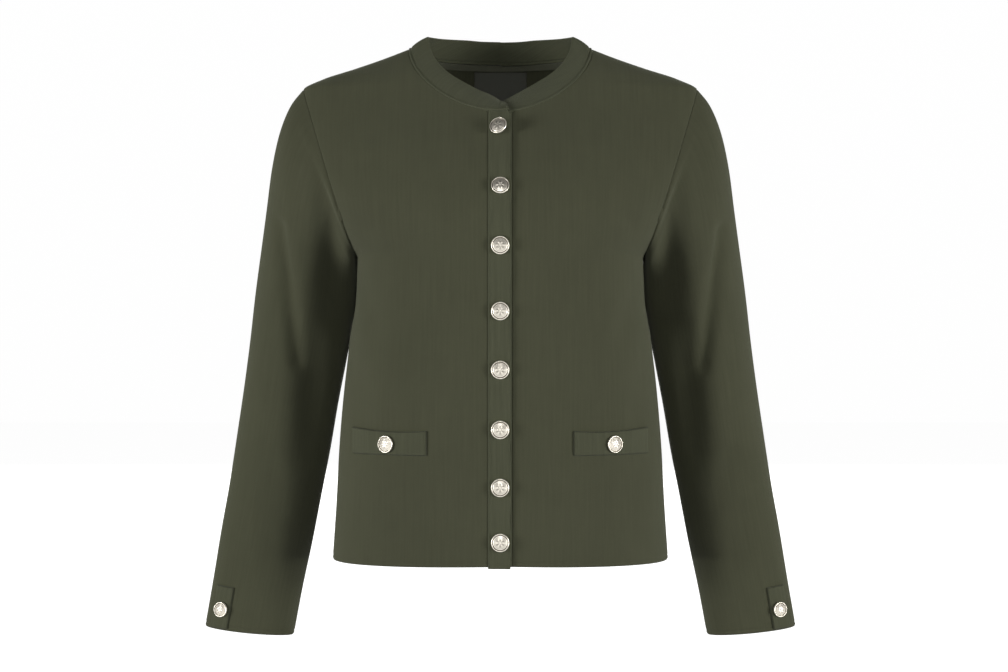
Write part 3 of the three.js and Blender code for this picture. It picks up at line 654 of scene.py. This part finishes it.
def back_panel():
    half = half_panel(BACK, 0, back_yoke)

    def place(u, v):
        points = half(np.abs(2 * u - 1), v)
        points[..., 0] *= np.where(u < 0.5, -1, 1)
        return points

    cloth = Cloth(place, BACK_COLUMNS, BACK_ROWS, crowd_across=0.6, outward=-1)
    left, right, hem, head = cloth.from_edges()
    out = roll(left, *SEAM_ROLL) + roll(right, *SEAM_ROLL) + roll(head, *SEAM_ROLL) + roll(hem, *HEM_ROLL)
    for x0, z0, x1, z1, wide, deep in BACK_CREASES:
        out = out + crease(cloth.points, (x0, z0), (x1, z1), wide, deep)
    out = out + sewn_line(hem, *HEM_LINE)
    cloth.press(out)
    close_shoulder(cloth, BACK)
    across, up = around_body(BACK, cloth.points)
    made = cloth_object("back", cloth, CLOTH_THICK, across, up)
    return add_piece(made, knit, ["back"])


back = back_panel()

# %% [markdown]
# A set-in sleeve is cut flat with a rounded head and closed by one seam under the arm. Here it is a
# stack of rings: the first is the armhole itself, and the rings fan out from the underarm until they
# lie square to the arm. The sleeve bends a little at the elbow, so the cloth there folds into soft
# troughs.

# %% The sleeves
SLEEVE = table(
    "ring outer_out outer_down inner_out inner_down deep rear",
    [
        (0, 205, 42, 148, 217, 59, 0),
        (1, 217.5, 58, 148.6, 221, 59, 2),
        (2, 229.3, 86, 148.6, 226, 59, 5),
        (3, 238, 124, 148.7, 233, 58.5, 9),
        (4, 244.2, 167, 149.0, 244, 58, 13),
        (5, 250.6, 211, 149.8, 262, 57, 16),
        (6, 256.8, 257, 155, 290, 55, 17),
        (7, 262, 304, 161.8, 326, 52, 16),
        (8, 267.8, 350, 169.5, 366, 48.5, 14),
        (9, 275, 401, 177.6, 415, 44.5, 11),
        (10, 282.2, 450, 186.7, 463, 40, 8),
        (11, 290.8, 500, 195.9, 512, 35.5, 5),
        (12, 298.6, 550, 206.1, 561, 31.5, 2),
        (13, 306.8, 598.5, 214.7, 607.9, 28.5, 0),
    ],
)
LAST_RING = 13
ARMHOLE_FADE = 5  # rings over which the armhole's depth gives way to the sleeve's own
RING_HEIGHT = 48  # mm of cloth from ring to ring
TURN_LENGTH = 0.85  # mm of cloth to a degree round the sleeve
RING_STEP, TURN_STEP = 0.05, 2  # how far apart the surface is measured for its slope


def sleeve_points(ring, turn):
    """The left sleeve's surface. Ring counts down to the cuff, turn 0 is the outer edge, -90 the front."""
    across = np.cos(np.radians(turn))
    share = (1 + across) / 2
    x = mix(SLEEVE["inner_out"](ring), SLEEVE["outer_out"](ring), share)
    z = -mix(SLEEVE["inner_down"](ring), SLEEVE["outer_down"](ring), share)
    line_x, line_z = armhole_line(share)
    front = np.sin(np.radians(turn)) < 0
    at_armhole = np.where(front, depth_at(FRONT, line_x, line_z), depth_at(BACK, line_x, line_z))
    at_ring = SLEEVE["rear"](ring) + SLEEVE["deep"](ring) * np.sin(np.radians(turn))
    return np.stack([x, mix(at_armhole, at_ring, soft_step(ring, 0, ARMHOLE_FADE)), z], -1)


def sleeve_normal(ring, turn):
    ring = np.clip(ring, RING_STEP, LAST_RING - RING_STEP)
    down = sleeve_points(ring + RING_STEP, turn) - sleeve_points(ring - RING_STEP, turn)
    around = sleeve_points(ring, turn + TURN_STEP) - sleeve_points(ring, turn - TURN_STEP)
    way = np.cross(down, around)
    return way / np.linalg.norm(way, axis=-1, keepdims=True)


LEFT_TROUGHS = [  # from ring, from turn, to ring, to turn, width, depth
    (4.2, -53.5, 7.3, -97, 8.5, 7.0),
    (6.4, -116, 9.0, -128, 20, 8.0),
    (0.9, -112, 5.8, -134, 24, 13.0),
    (7.0, 150, 8.6, 100, 16, 2.6),
    (8.8, -72, 10.2, -100, 12, 1.6),
    (1.0, -62, 3.6, -80, 12, 1.2),
    (9.4, -70, 11.6, -96, 13, 1.4),
    (2.0, 118, 5.0, 104, 13, 1.8),
    (8.6, 60, 10.6, 96, 14, 1.6),
]
RIGHT_TROUGHS = [
    (4.1, -54, 7.2, -96, 8.5, 6.6),
    (6.5, -114, 8.9, -130, 21, 7.6),
    (1.0, -113, 5.7, -133, 24, 12.6),
    (6.9, 146, 8.7, 104, 15, 2.4),
    (8.9, -76, 10.4, -102, 11, 1.5),
    (1.2, -60, 3.8, -78, 11, 1.3),
    (9.6, -74, 11.4, -100, 12, 1.3),
    (2.2, 114, 4.8, 100, 12, 1.9),
    (8.8, 64, 10.8, 92, 13, 1.5),
]
SIDES = (("left", False, LEFT_TROUGHS), ("right", True, RIGHT_TROUGHS))  # side, mirrored, its troughs
TROUGH_START = 1.2  # rings over which the troughs begin, below the armhole seam


def trough_depth(ring, turn, troughs):
    """How far the cloth lies in at a point of a sleeve."""
    total = np.zeros(np.broadcast(ring, turn).shape)
    turn = (turn + 180) % 360 - 180
    for ring0, turn0, ring1, turn1, wide, deep in troughs:
        along = (ring - ring0) / (ring1 - ring0)
        share = np.clip(along, 0, 1)
        across = (turn - mix(turn0, turn1, share)) * TURN_LENGTH
        past = (along - share) * (ring1 - ring0) * RING_HEIGHT
        fade = 0.55 + 0.45 * np.sin(np.pi * share)
        total = total + fade * deep * np.exp(-(across**2 + past**2) / wide**2)
    return total * soft_step(ring, 0, TROUGH_START)


SLEEVE_COLUMNS, SLEEVE_ROWS = 104, 210
SLEEVE_GIRTH = 330  # the knit's columns are counted over this width
UNDERARM_SEAM, SEAM_FADE = (0, 1.6, 0.5), (4, 6)  # its place, width and depth, and the rings where it begins


def sleeve_piece(name, mirror, troughs):
    # The grid's first and last column meet under the arm, at the sleeve's own seam.
    def place(u, v):
        return sleeve_points(LAST_RING * v, 180 + 360 * u)

    cloth = Cloth(
        place, SLEEVE_COLUMNS, SLEEVE_ROWS, crowd_across=0, crowd_up=0.7, round_it=True, outward=-1
    )
    cloth.points[0] += armhole_way * HALF_SEAM
    head, cuff = cloth.high, cloth.high[-1:] - cloth.high
    ring, turn = LAST_RING * cloth.v, 180 + 360 * cloth.u
    out = -trough_depth(ring, turn, troughs) + roll(head, *SEAM_ROLL) + roll(cuff, *HEM_ROLL)
    out = out + sewn_line(cuff, *HEM_LINE)
    seam = np.minimum(cloth.along, cloth.along[:, -1:] - cloth.along)
    out = out + soft_step(ring, *SEAM_FADE) * sewn_line(seam, *UNDERARM_SEAM)
    cloth.press(out)
    across = (cloth.u - 0.5) * SLEEVE_GIRTH
    if mirror:
        cloth.points[..., 0] *= -1
        cloth.outward = 1
    made = cloth_object(name, cloth, CLOTH_THICK, across, -cloth.high)
    add_piece(made, knit, [name])


for side, mirror, troughs in SIDES:
    sleeve_piece("sleeve_" + side, mirror, troughs)

# %% [markdown]
# The bands are doubled knit, folded along one edge and sewn on by the other. They are thicker and
# firmer than the panels, with a soft fold instead of a raw edge. Each is a strip of the same form,
# lifted so far that it lies on what is under it: the upper button band over the lower one, the
# neckband's right end over its left end.

# %% The button bands
BAND_THICK = 1.9
BAND_CORNER_FROM, BAND_CORNER_SLOPE = 7, 1.7  # the upper band's slanting corner at the neck
TOP_BAND_DROP = 1.6  # the upper band hangs so far below the hem
BUTTON_DOWNS = [91.3, 150.6, 209.4, 273.7, 331.2, 389.6, 446.3, 500.2]
FREE_EDGE, ALLOWANCE = 10.4, 0.6  # the upper band's free edge, and how far its sewn edge laps its panel
UNDER_EDGE = BAND_HALF + 0.35  # the lower band's edge, under its panel so that no light shows between them
SEWN_EDGE_LINE, FREE_EDGE_LINE = (3.0, 0.6, 0.4), (2.4, 0.6, 0.3)  # each line's distance, width and depth
PULL_REACH = 12  # how far up and down the band a button draws it in
BAND_COLUMNS, BAND_ROWS = 26, 330


def button_band(name, lift, extra, corner):
    """The upper band has a slanting corner (1), the lower one has none (0)."""

    def place(u, v):
        x = mix(-BAND_HALF + HALF_SEAM - ALLOWANCE * corner, FREE_EDGE if corner else UNDER_EDGE, u)
        cut = np.maximum(0, x - BAND_CORNER_FROM) * BAND_CORNER_SLOPE * corner
        top = neckline(neck_turn_at(x))[1] - SEAM - cut
        return on_body(FRONT, x, mix(-HEM_MIDDLE - extra, top, v), lift)

    cloth = Cloth(place, BAND_COLUMNS, BAND_ROWS, crowd_across=0.7, crowd_up=0.35)
    left, right, hem, head = cloth.from_edges()
    out = roll(left, 0.8 + 0.6 * corner, 2.0) + roll(right, 0.8, 1.6)
    out = out + roll(hem, 0.6, 1.6) + roll(head, 0.5, 1.6)
    if corner:
        # Between two buttons the free edge lifts and wanders a little, and each button pulls it in.
        depth = -cloth.points[..., 2]
        pull = sum(np.exp(-(((depth - down) / PULL_REACH) ** 2)) for down in BUTTON_DOWNS)
        free = soft_step(cloth.u, 0.45, 1)
        out = out + free * (0.9 - 1.1 * pull)
        wander = 0.45 * np.sin(depth / 11.3) + 0.3 * np.sin(depth / 6.1 + 1)
        cloth.points[..., 0] += free * (wander * 0.7 + 1.1 * pull - 0.4)
        out = out + sewn_line(left, *SEWN_EDGE_LINE) + sewn_line(right, *FREE_EDGE_LINE)
    cloth.press(out)
    made = cloth_object(name, cloth, BAND_THICK, cloth.along, cloth.high)
    add_piece(made, band_knit, [name])


button_band("placket_under", -UNDER_BAND_SINK, 0, 0)
button_band("placket_top", TOP_BAND_LIFT, TOP_BAND_DROP, 1)

# %% [markdown]
# The neckband stands up round the neck. It could be swept along the neckline, but its width and lean
# change all the way round, so it is a surface between two lines: its sewn edge is the neckline, and its
# free edge has a short table of its own. A little bulge between them gives the fullness of a folded
# band.

# %% The neckband
# Its free edge seen from the front, from the middle front (turn 0) round to the middle back (180)
BAND_EDGE = table(
    "turn out rise",
    [
        (0, 0, -57.5),
        (15, 19, -47.5),
        (30, 38, -37),
        (45, 53.5, -26.5),
        (60, 65, -14),
        (75, 72, 0),
        (90, 74.5, 13.8),
        (120, 65, 15),
        (150, 38, 15.2),
        (165, 19.3, 14.2),
        (180, 0, 13.9),
    ],
)
BAND_TOP_DEPTH, BAND_WIDE, BAND_BULGE = 40, 26, 1.4
BAND_FROM, BAND_TO, SETTLE = -6.2, 368.4, 18  # turns where it starts, ends, and has sunk onto its panel
BAND_END_TURN, BAND_END_ROUND, BAND_END_LEAST = 6, 12.4, 0.02  # its upper end is rounded off up to here
SEAM_RIDGE, RIDGE_SIDE = (1.2, 0.8, 0.8), (3.0, 0.8, 0.6)  # each one's distance, width and height or depth
NECKBAND_COLUMNS, NECKBAND_ROWS = 380, 32
TUCK_SHARE, TUCK_DEEP = 0.08, 1.3  # the seam allowance, tucked in under the panels' edge


def band_lift(turn):
    x = neckline(np.abs(360 - turn))[0]
    past = np.where(turn < 360, np.maximum(0, x - FRONT_EDGE), 0)
    lower = np.where(turn > 180, UNDER_BAND_SINK * np.exp(-((past / LAP_REACH) ** 2)), 0)
    return TOP_BAND_LIFT * (1 - soft_step(turn, neck_turn_at(FRONT_EDGE), SETTLE)) - lower


def band_points(turn, share):
    """The neckband's surface: turn runs from its upper end round the back to its lower end."""
    right = turn < 180
    round_it = np.abs(np.where(right, turn, 360 - turn))
    way = np.where(right, -1, 1) * np.where((turn < 0) | (turn > 360), -1, 1)
    x, z = neckline(round_it)
    front = round_it < 90
    foot = np.stack([x, np.where(front, depth_at(FRONT, x, z), depth_at(BACK, x, z)), z], -1)
    cosine, sine = np.cos(np.radians(round_it)), np.sin(np.radians(round_it))
    edge = np.stack([BAND_EDGE["out"](round_it), -BAND_TOP_DEPTH * cosine, BAND_EDGE["rise"](round_it)], -1)
    from_end = (BAND_END_TURN - turn) / BAND_END_ROUND
    rounded = np.sqrt(np.clip(1 - from_end**2, BAND_END_LEAST, 1))
    corner = np.where(turn < BAND_END_TURN, rounded, 1)
    trim = 2 * SEAM / BAND_WIDE
    sewn_in = np.clip(-share / TUCK_SHARE, 0, 1)
    points = mix(foot, edge, (mix(trim, 1, share) * corner)[..., None])
    out = np.cross(edge - foot, np.stack([cosine, sine, np.zeros_like(sine)], -1))
    facing = out[..., 1] * np.where(front, -1, 1) + out[..., 2]
    out *= np.where(facing < 0, -1, 1)[..., None]
    out /= np.linalg.norm(out, axis=-1, keepdims=True)
    sewn = np.where(front[..., None], body_normal(FRONT, x, z), body_normal(BACK, x, z))
    lift_way = mix(sewn, out, np.clip(share, 0, 1)[..., None])
    lift_way /= np.linalg.norm(lift_way, axis=-1, keepdims=True)
    lift = band_lift(turn) - TUCK_DEEP * sewn_in
    points = points + out * (BAND_BULGE * np.sin(np.pi * share))[..., None] + lift_way * lift[..., None]
    points[..., 0] *= way
    return points


def neckband_piece():
    def place(u, v):
        return band_points(mix(BAND_FROM, BAND_TO, u), mix(-TUCK_SHARE, 1, v))

    cloth = Cloth(place, NECKBAND_COLUMNS, NECKBAND_ROWS, crowd_across=0.5, crowd_up=0.7, outward=-1)
    left, right, foot, fold = cloth.from_edges()
    foot = foot - TUCK_SHARE * BAND_WIDE
    out = roll(left, 0.7, 1.6) + roll(right, 0.7, 1.6) + roll(fold, 1.0, 2.0)
    # The seam allowance inside shows as a low ridge beside the seam.
    out = out - sewn_line(foot, *SEAM_RIDGE) + sewn_line(foot, *RIDGE_SIDE)
    cloth.press(out)
    made = cloth_object("neckband", cloth, BAND_THICK, cloth.along, cloth.high)
    add_piece(made, band_knit, ["neckband"])


neckband_piece()

# %% [markdown]
# Inside the back neck a narrow twill tape covers the seam, and a bare label hangs from it. Both are
# thin sheets that lie on the inner face of the back, so their points are the body form's own, moved in
# by the wall and a little more. Their weave is a row of threads, slanting for the twill and level for
# the label.

# %% Tape and label
TAPE_FROM, TAPE_BELOW, TAPE_WIDE, TAPE_CLEAR = 112, 1, 6, 0.6
LABEL_HALF, LABEL_TOP, LABEL_FOOT = 28, 16.2, 56
WALL_INSIDE = 1.6  # the panel's wall in the solid, which tape and label lie inside
TAPE_THICK = 0.8


def woven_finish(name, dark, light, pitch, lean, rough):
    """A fine woven face: threads pitch mm apart, leaning as a twill does when lean isn't nought."""
    finish = Finish(name, Roughness=rough, Sheen_Weight=0.1, Specular_IOR_Level=0.35)
    across, up, _ = finish.along_cloth()
    thread = ((across * lean + up) * (2 * math.pi / (pitch * MM))).math("SINE") * 0.5 + 0.5
    solid = finish.node("TexCoord", output=3)
    uneven = finish.noise(solid, scale=300.0, detail=3.0, rough=0.6)
    finish.drive("Base Color", finish.blend(thread * 0.5 + uneven * 0.5, dark, light))
    relief = finish.node("Bump", Height=thread + uneven * 0.4, Strength=0.4, Distance=0.15 * MM)
    finish.drive("Normal", relief)
    return finish.material


TWILL_DARK, TWILL_LIGHT = (0.060, 0.063, 0.038), (0.098, 0.102, 0.066)
SATIN_DARK, SATIN_LIGHT = (0.048, 0.049, 0.036), (0.066, 0.068, 0.052)
twill = woven_finish("neck_tape_twill", TWILL_DARK, TWILL_LIGHT, pitch=0.9, lean=1.0, rough=0.8)
satin = woven_finish("label_satin", SATIN_DARK, SATIN_LIGHT, pitch=0.45, lean=0.0, rough=0.5)


def tape_place(u, v):
    turn = mix(TAPE_FROM, 360 - TAPE_FROM, u)
    x, z = neckline(np.where(turn < 180, turn, 360 - turn))
    points = on_body(BACK, x, z - TAPE_BELOW - TAPE_WIDE * v, -WALL_INSIDE - TAPE_CLEAR)
    points[..., 0] *= np.where(turn < 180, -1, 1)
    return points


def label_place(u, v):
    x, z = mix(-LABEL_HALF, LABEL_HALF, u), -mix(LABEL_TOP, LABEL_FOOT, v)
    return on_body(BACK, x, z, -WALL_INSIDE - TAPE_CLEAR)


def inside_piece(name, place, steps, material, wave):
    cloth = Cloth(place, *steps)
    left, right, top, foot = cloth.from_edges()
    out = roll(left, 0.2, 1.2) + roll(right, 0.2, 1.2) + roll(foot, 0.3, 1.5)
    out = out + wave * np.sin(cloth.u * 7 + 0.6) * soft_step(cloth.v, 0, 1)
    cloth.press(out)
    made = cloth_object(name, cloth, TAPE_THICK, cloth.along, cloth.high)
    return add_piece(made, material, [name])


neck_tape = inside_piece("neck_tape", tape_place, (160, 8), twill, 0)
inside_piece("label", label_place, (60, 44), satin, -0.3)

# %% [markdown]
# Outside, each hip has a sewn-on welt over its pocket mouth, and each cuff a short tab. Both are
# doubled knit like the bands, and lie on their panel with three edges sewn down. Turned edges are
# rolled in deeply, and painted shade darkens their colour along all four edges, standing in for the
# shadow in the fold that makes a flat trim show.

# %% Welts and cuff tabs
WELT_INNER, WELT_OUTER, WELT_MOUTH, WELT_SAG, WELT_FOOT = 71.8, 148, 389.5, 3, 416
TRIM_LIFT = 2.5  # a doubled piece lies on its panel


def welt_mouth(u):
    return WELT_MOUTH + WELT_SAG * np.sin(np.pi * mix(0.2, 1, u))


def welt_place(u, v):
    return on_body(FRONT, mix(WELT_INNER, WELT_OUTER, u), -mix(WELT_FOOT, welt_mouth(u), v), TRIM_LIFT)


TAB_RINGS, TAB_TURNS = (12.97, 12.07), (-64.5, -34)
# How deep a trim's edges roll in, and how far the painted shade along its edges reaches, in mm
TRIM_ROLL, TRIM_SHADE_WIDE = 1.9, 0.75
WELT_GRID, WELT_FLAT, WELT_STITCH = (84, 30), (0.097, 0.027), 2.4
TAB_GRID, TAB_FLAT, TAB_STITCH = (24, 50), (0.023, 0.044), 2.0


def on_sleeve(ring, turn, lift, troughs):
    points, way = sleeve_points(ring, turn), sleeve_normal(ring, turn)
    return points + way * (lift - trough_depth(ring, turn, troughs))[..., None]


def trim_piece(name, place, steps, mirror, rests_on, stitch_at):
    cloth = Cloth(place, *steps)
    left, right, foot, mouth = cloth.from_edges()
    out = sum(roll(edge, TRIM_ROLL, 1.8) for edge in (left, right, foot))
    # The open edge stands off its panel a little before it turns in.
    out = out + 0.5 * np.exp(-mouth / 3) + roll(mouth, TRIM_ROLL, 1.2)
    nearest = np.minimum(np.minimum(left, right), foot)
    out = out + sewn_line(nearest, stitch_at, 0.6, 0.3)
    # Painted shade: the colour darkens along all four edges, where the fold's shadow falls
    cloth.fold = np.exp(-((np.minimum(nearest, mouth) / TRIM_SHADE_WIDE) ** 2))
    cloth.press(out)
    if mirror:
        cloth.points[..., 0] *= -1
        cloth.outward = -1
    made = cloth_object(name, cloth, BAND_THICK, cloth.along, cloth.high)
    add_piece(made, band_knit, [name])


def tab_place(troughs):
    def place(u, v):
        ring, turn = mix(*TAB_RINGS, v), mix(*TAB_TURNS, u)
        return on_sleeve(ring, turn, np.full_like(u, TRIM_LIFT), troughs)

    return place


for side, mirror, troughs in SIDES:
    panel, sleeve = "front_" + side, "sleeve_" + side
    trim_piece("pocket_welt_" + side, welt_place, WELT_GRID, mirror, panel, WELT_STITCH)
    trim_piece("cuff_tab_" + side, tab_place(troughs), TAB_GRID, mirror, sleeve, TAB_STITCH)

# %% [markdown]
# The buttons are pressed from sheet metal: a rolled rim, a groove inside it and a domed middle, on a
# shank behind. A lathe would not press them, but spinning half a section round its axis gives the same
# form. The middle carries a plain rosette. The first button is unevenly pulled by its buttonhole, so it
# hangs a little turned.

# %% Buttons
BUTTON_DEEP = 2.4
SPIN_STEPS, ROSETTE = 72, 0.66  # the rosette reaches so far out from the middle
# Where the ring of painted shade in the groove lies and how wide it is
GROOVE_AT, GROOVE_WIDE = 0.84, 0.055  # shares of the radius
# Random tones of the worn gold, and the near-black of the painted shade in the groove and the rosette's
# hollows
WORN_GOLD, BRIGHT_GOLD, PAINTED_GROOVE_SHADE = (0.72, 0.67, 0.57), (0.95, 0.90, 0.80), (0.075, 0.065, 0.045)


def metal_finish():
    finish = Finish("pale_gold_metal", Metallic=0.82)
    solid = finish.node("TexCoord", output=3)
    cloud = finish.noise(solid, scale=260.0, detail=4.0, rough=0.6)
    worn = finish.blend(cloud, WORN_GOLD, BRIGHT_GOLD)
    out = finish.node("Attribute", output=2, settings={"attribute_name": "out"})
    recess_shade = finish.node("Attribute", output=2, settings={"attribute_name": "recess_shade"})
    # Painted shade: the colour darkens in the groove, at the rosette's edge and in the hollows between its
    # petals, where shadow falls
    groove = ((out - GROOVE_AT) / GROOVE_WIDE) ** 2.0
    edge = ((out - ROSETTE) / 0.04) ** 2.0
    painted_hollow_shade = (groove * -1.0).math("EXPONENT") * 0.95 + (edge * -1.0).math("EXPONENT") * 0.5 + recess_shade * 0.7
    finish.drive("Base Color", finish.blend(painted_hollow_shade.math("MINIMUM", 1.0), worn, PAINTED_GROOVE_SHADE))
    finish.drive("Roughness", cloud * 0.15 + 0.3)
    finish.drive("Normal", finish.node("Bump", Height=cloud, Strength=0.15, Distance=0.1 * MM))
    return finish.material


pale_metal = metal_finish()


def button_section(radius, shank, shank_radius=1.5):
    """Half a section of a button: (distance from the axis, height)."""
    rim = [(0.86, 0), (0.96, 0.25), (1, 0.9), (0.998, 1.7), (0.98, 2.15), (0.95, 2.38), (0.915, 2.42)]
    groove = [(0.885, 2.3), (0.87, 2.0), (0.86, 1.62), (0.84, 1.5), (0.815, 1.52), (0.80, 1.75)]
    dome = [(share, mix(3.1, 1.95, (share / 0.78) ** 2)) for share in np.linspace(0.78, 0, 18)]
    outline = [(radius * share, height) for share, height in rim + groove + dome]
    return [(0, -shank), (shank_radius, -shank), (shank_radius, 0)] + outline


def button(name, radius, shank, place, way, mirror=False):
    spun = bmesh.new()
    section = [spun.verts.new((x, y, 0)) for x, y in button_section(radius, shank)]
    edges = [spun.edges.new(pair) for pair in zip(section[:-1], section[1:])]
    bmesh.ops.spin(
        spun,
        geom=section + edges,
        cent=(0, 0, 0),
        axis=(0, 1, 0),
        angle=2 * math.pi,
        steps=SPIN_STEPS,
        use_merge=True,
    )
    bmesh.ops.remove_doubles(spun, verts=spun.verts, dist=1e-4)
    bmesh.ops.recalc_face_normals(spun, faces=spun.faces)
    spread = spun.verts.layers.float.new("out")
    hollow = spun.verts.layers.float.new("recess_shade")
    way, place = Vector(way), Vector(place)
    turned = Vector((0, 1, 0)).rotation_difference(way)
    for vertex in spun.verts:
        x, y, z = vertex.co
        out, turn = math.hypot(x, z) / radius, math.atan2(z, x)
        if y > BUTTON_DEEP / 2 and out < ROSETTE:
            petal = math.cos(3 * turn) ** 2 * math.sin(math.pi * out / ROSETTE) ** 2
            y += 0.3 * petal - 0.25 * math.exp(-(((out - 0.13) / 0.05) ** 2))
            # How far a point lies in a hollow between the petals, where the metal's colour gets painted
            # shade
            vertex[hollow] = (1 - petal) * math.sin(math.pi * out / ROSETTE)
        vertex[spread] = out if y > BUTTON_DEEP / 2 else 1
        vertex.co = (place + turned @ Vector((x, y, z))) * MM
        if mirror:
            vertex.co.x *= -1
    if mirror:
        bmesh.ops.reverse_faces(spun, faces=spun.faces)
    add_piece(make_object(name + "_metal", spun), pale_metal, [name])


FRONT_RADIUS, POCKET_RADIUS, CUFF_RADIUS = 9.0, 8.6, 7.7
LOOSE_SHANK, FRONT_SHANK, TRIM_SHANK = 7, 3.2, 0.6
BUTTON_RISE = 0.5  # space under a button
# The first button is lifted, drawn aside, set more upright, and turned about an axis that leans sideways
LEAN_LIFT, LEAN_ASIDE, LEAN_UPRIGHT, LEAN_TURN, LEAN_AXIS = 4.2, -1.6, 0.6, -25, 28
for i, down in enumerate(BUTTON_DOWNS):
    way = Vector(body_normal(FRONT, np.array(0.0), np.array(-down)))
    loose = i == 0
    place = Vector(on_body(FRONT, 0, -down, TOP_BAND_LIFT + BUTTON_RISE + LEAN_LIFT * loose))
    if loose:
        lean = math.radians(LEAN_AXIS)
        way = way.lerp(Vector((0, -1, 0)), LEAN_UPRIGHT).normalized()
        way.rotate(Matrix.Rotation(math.radians(LEAN_TURN), 3, Vector((math.sin(lean), 0, math.cos(lean)))))
        place.x += LEAN_ASIDE
    button("button_%d" % (i + 1), FRONT_RADIUS, LOOSE_SHANK if loose else FRONT_SHANK, place, way)

# x and z of the welt's button, ring and turn of the tab's, and how far both stand above their panel
POCKET_SPOT, CUFF_SPOT, ON_TRIM = (111.3, -405), (12.56, -52), 3.4
for side, mirror, troughs in SIDES:
    place, way = on_body(FRONT, *POCKET_SPOT, ON_TRIM), body_normal(FRONT, *map(np.array, POCKET_SPOT))
    button("pocket_button_" + side, POCKET_RADIUS, TRIM_SHANK, place, way, mirror)
    spot = [np.array(float(value)) for value in CUFF_SPOT]
    place, way = on_sleeve(*spot, np.array(ON_TRIM), troughs), sleeve_normal(*spot)
    button("cuff_button_" + side, CUFF_RADIUS, TRIM_SHANK, place, way, mirror)

# %% [markdown]
# The photo is a plain catalogue picture, with a white ground and soft even light. White walls that lit
# the jacket would wash out its dark cloth, so a glowing white ball stands round it as the room and
# gives it no light. The cloth is lit by a lamp at either side of the front, a weaker one in front and
# one behind for the back view.

# %% Floor, light and camera
FLOOR_SIZE, FLOOR_HEIGHT, ROOM_RADIUS, WORLD_LIGHT = 6, -0.645, 9, 0.06
FILM_WIDE, LENS, CAMERA_PLACE = 36, 72.1, (0.00374, -2.1, -0.298)
LAMPS = [  # name, place, aim, size in metres and power in watts
    ("key", (-2.2, -1.25, -0.3), (0, 0, -0.3), 0.7, 49),
    ("fill", (2.2, -1.25, -0.3), (0, 0, -0.3), 0.7, 49),
    ("back", (0.0, 3.0, 0.6), (0, 0, -0.3), 1.6, 100),
    ("front", (0.0, -3.0, 0.6), (0, 0, -0.2), 1.2, 26),
]
floor_mesh = bmesh.new()
bmesh.ops.create_grid(floor_mesh, x_segments=1, y_segments=1, size=FLOOR_SIZE)
for vertex in floor_mesh.verts:
    vertex.co.z = FLOOR_HEIGHT
floor = make_object("floor", floor_mesh)


def lit_paper(name, glow, grey):
    finish = Finish(name, Roughness=0.9)
    finish.surface.inputs["Base Color"].default_value = (grey, grey, grey, 1)
    finish.surface.inputs["Emission Color"].default_value = (1, 1, 1, 1)
    finish.surface.inputs["Emission Strength"].default_value = glow
    return finish.material


floor.data.materials.append(lit_paper("white_floor", 0.96, 0.25))
floor.visible_diffuse = False
room_mesh = bmesh.new()
bmesh.ops.create_icosphere(room_mesh, subdivisions=3, radius=ROOM_RADIUS)
room = make_object("room", room_mesh)
room.data.materials.append(lit_paper("lit_room", 0.99, 0.0))
room.visible_diffuse = room.visible_glossy = False

world = bpy.data.worlds.new("studio")
bpy.context.scene.world = world
world.use_nodes = True
world.node_tree.nodes["Background"].inputs["Color"].default_value = (1, 1, 1, 1)
world.node_tree.nodes["Background"].inputs["Strength"].default_value = WORLD_LIGHT
bpy.context.scene.view_settings.view_transform = "Standard"


def lamp(name, place, aim, size, power):
    light = bpy.data.lights.new(name, "AREA")
    light.shape, light.size, light.energy = "SQUARE", size, power
    made = bpy.data.objects.new(name, light)
    bpy.context.scene.collection.objects.link(made)
    made.location = place
    made.rotation_euler = (Vector(aim) - Vector(place)).to_track_quat("-Z", "Y").to_euler()


for row in LAMPS:
    lamp(*row)

camera = bpy.data.objects.new("camera", bpy.data.cameras.new("camera"))
bpy.context.scene.collection.objects.link(camera)
camera.data.sensor_fit, camera.data.sensor_width, camera.data.lens = "HORIZONTAL", FILM_WIDE, LENS
camera.data.dof.use_dof = False
camera.location = CAMERA_PLACE
camera.rotation_euler = (math.pi / 2, 0, 0)
bpy.context.scene.camera = camera
print("lamps:", len(LAMPS), "camera at", CAMERA_PLACE)
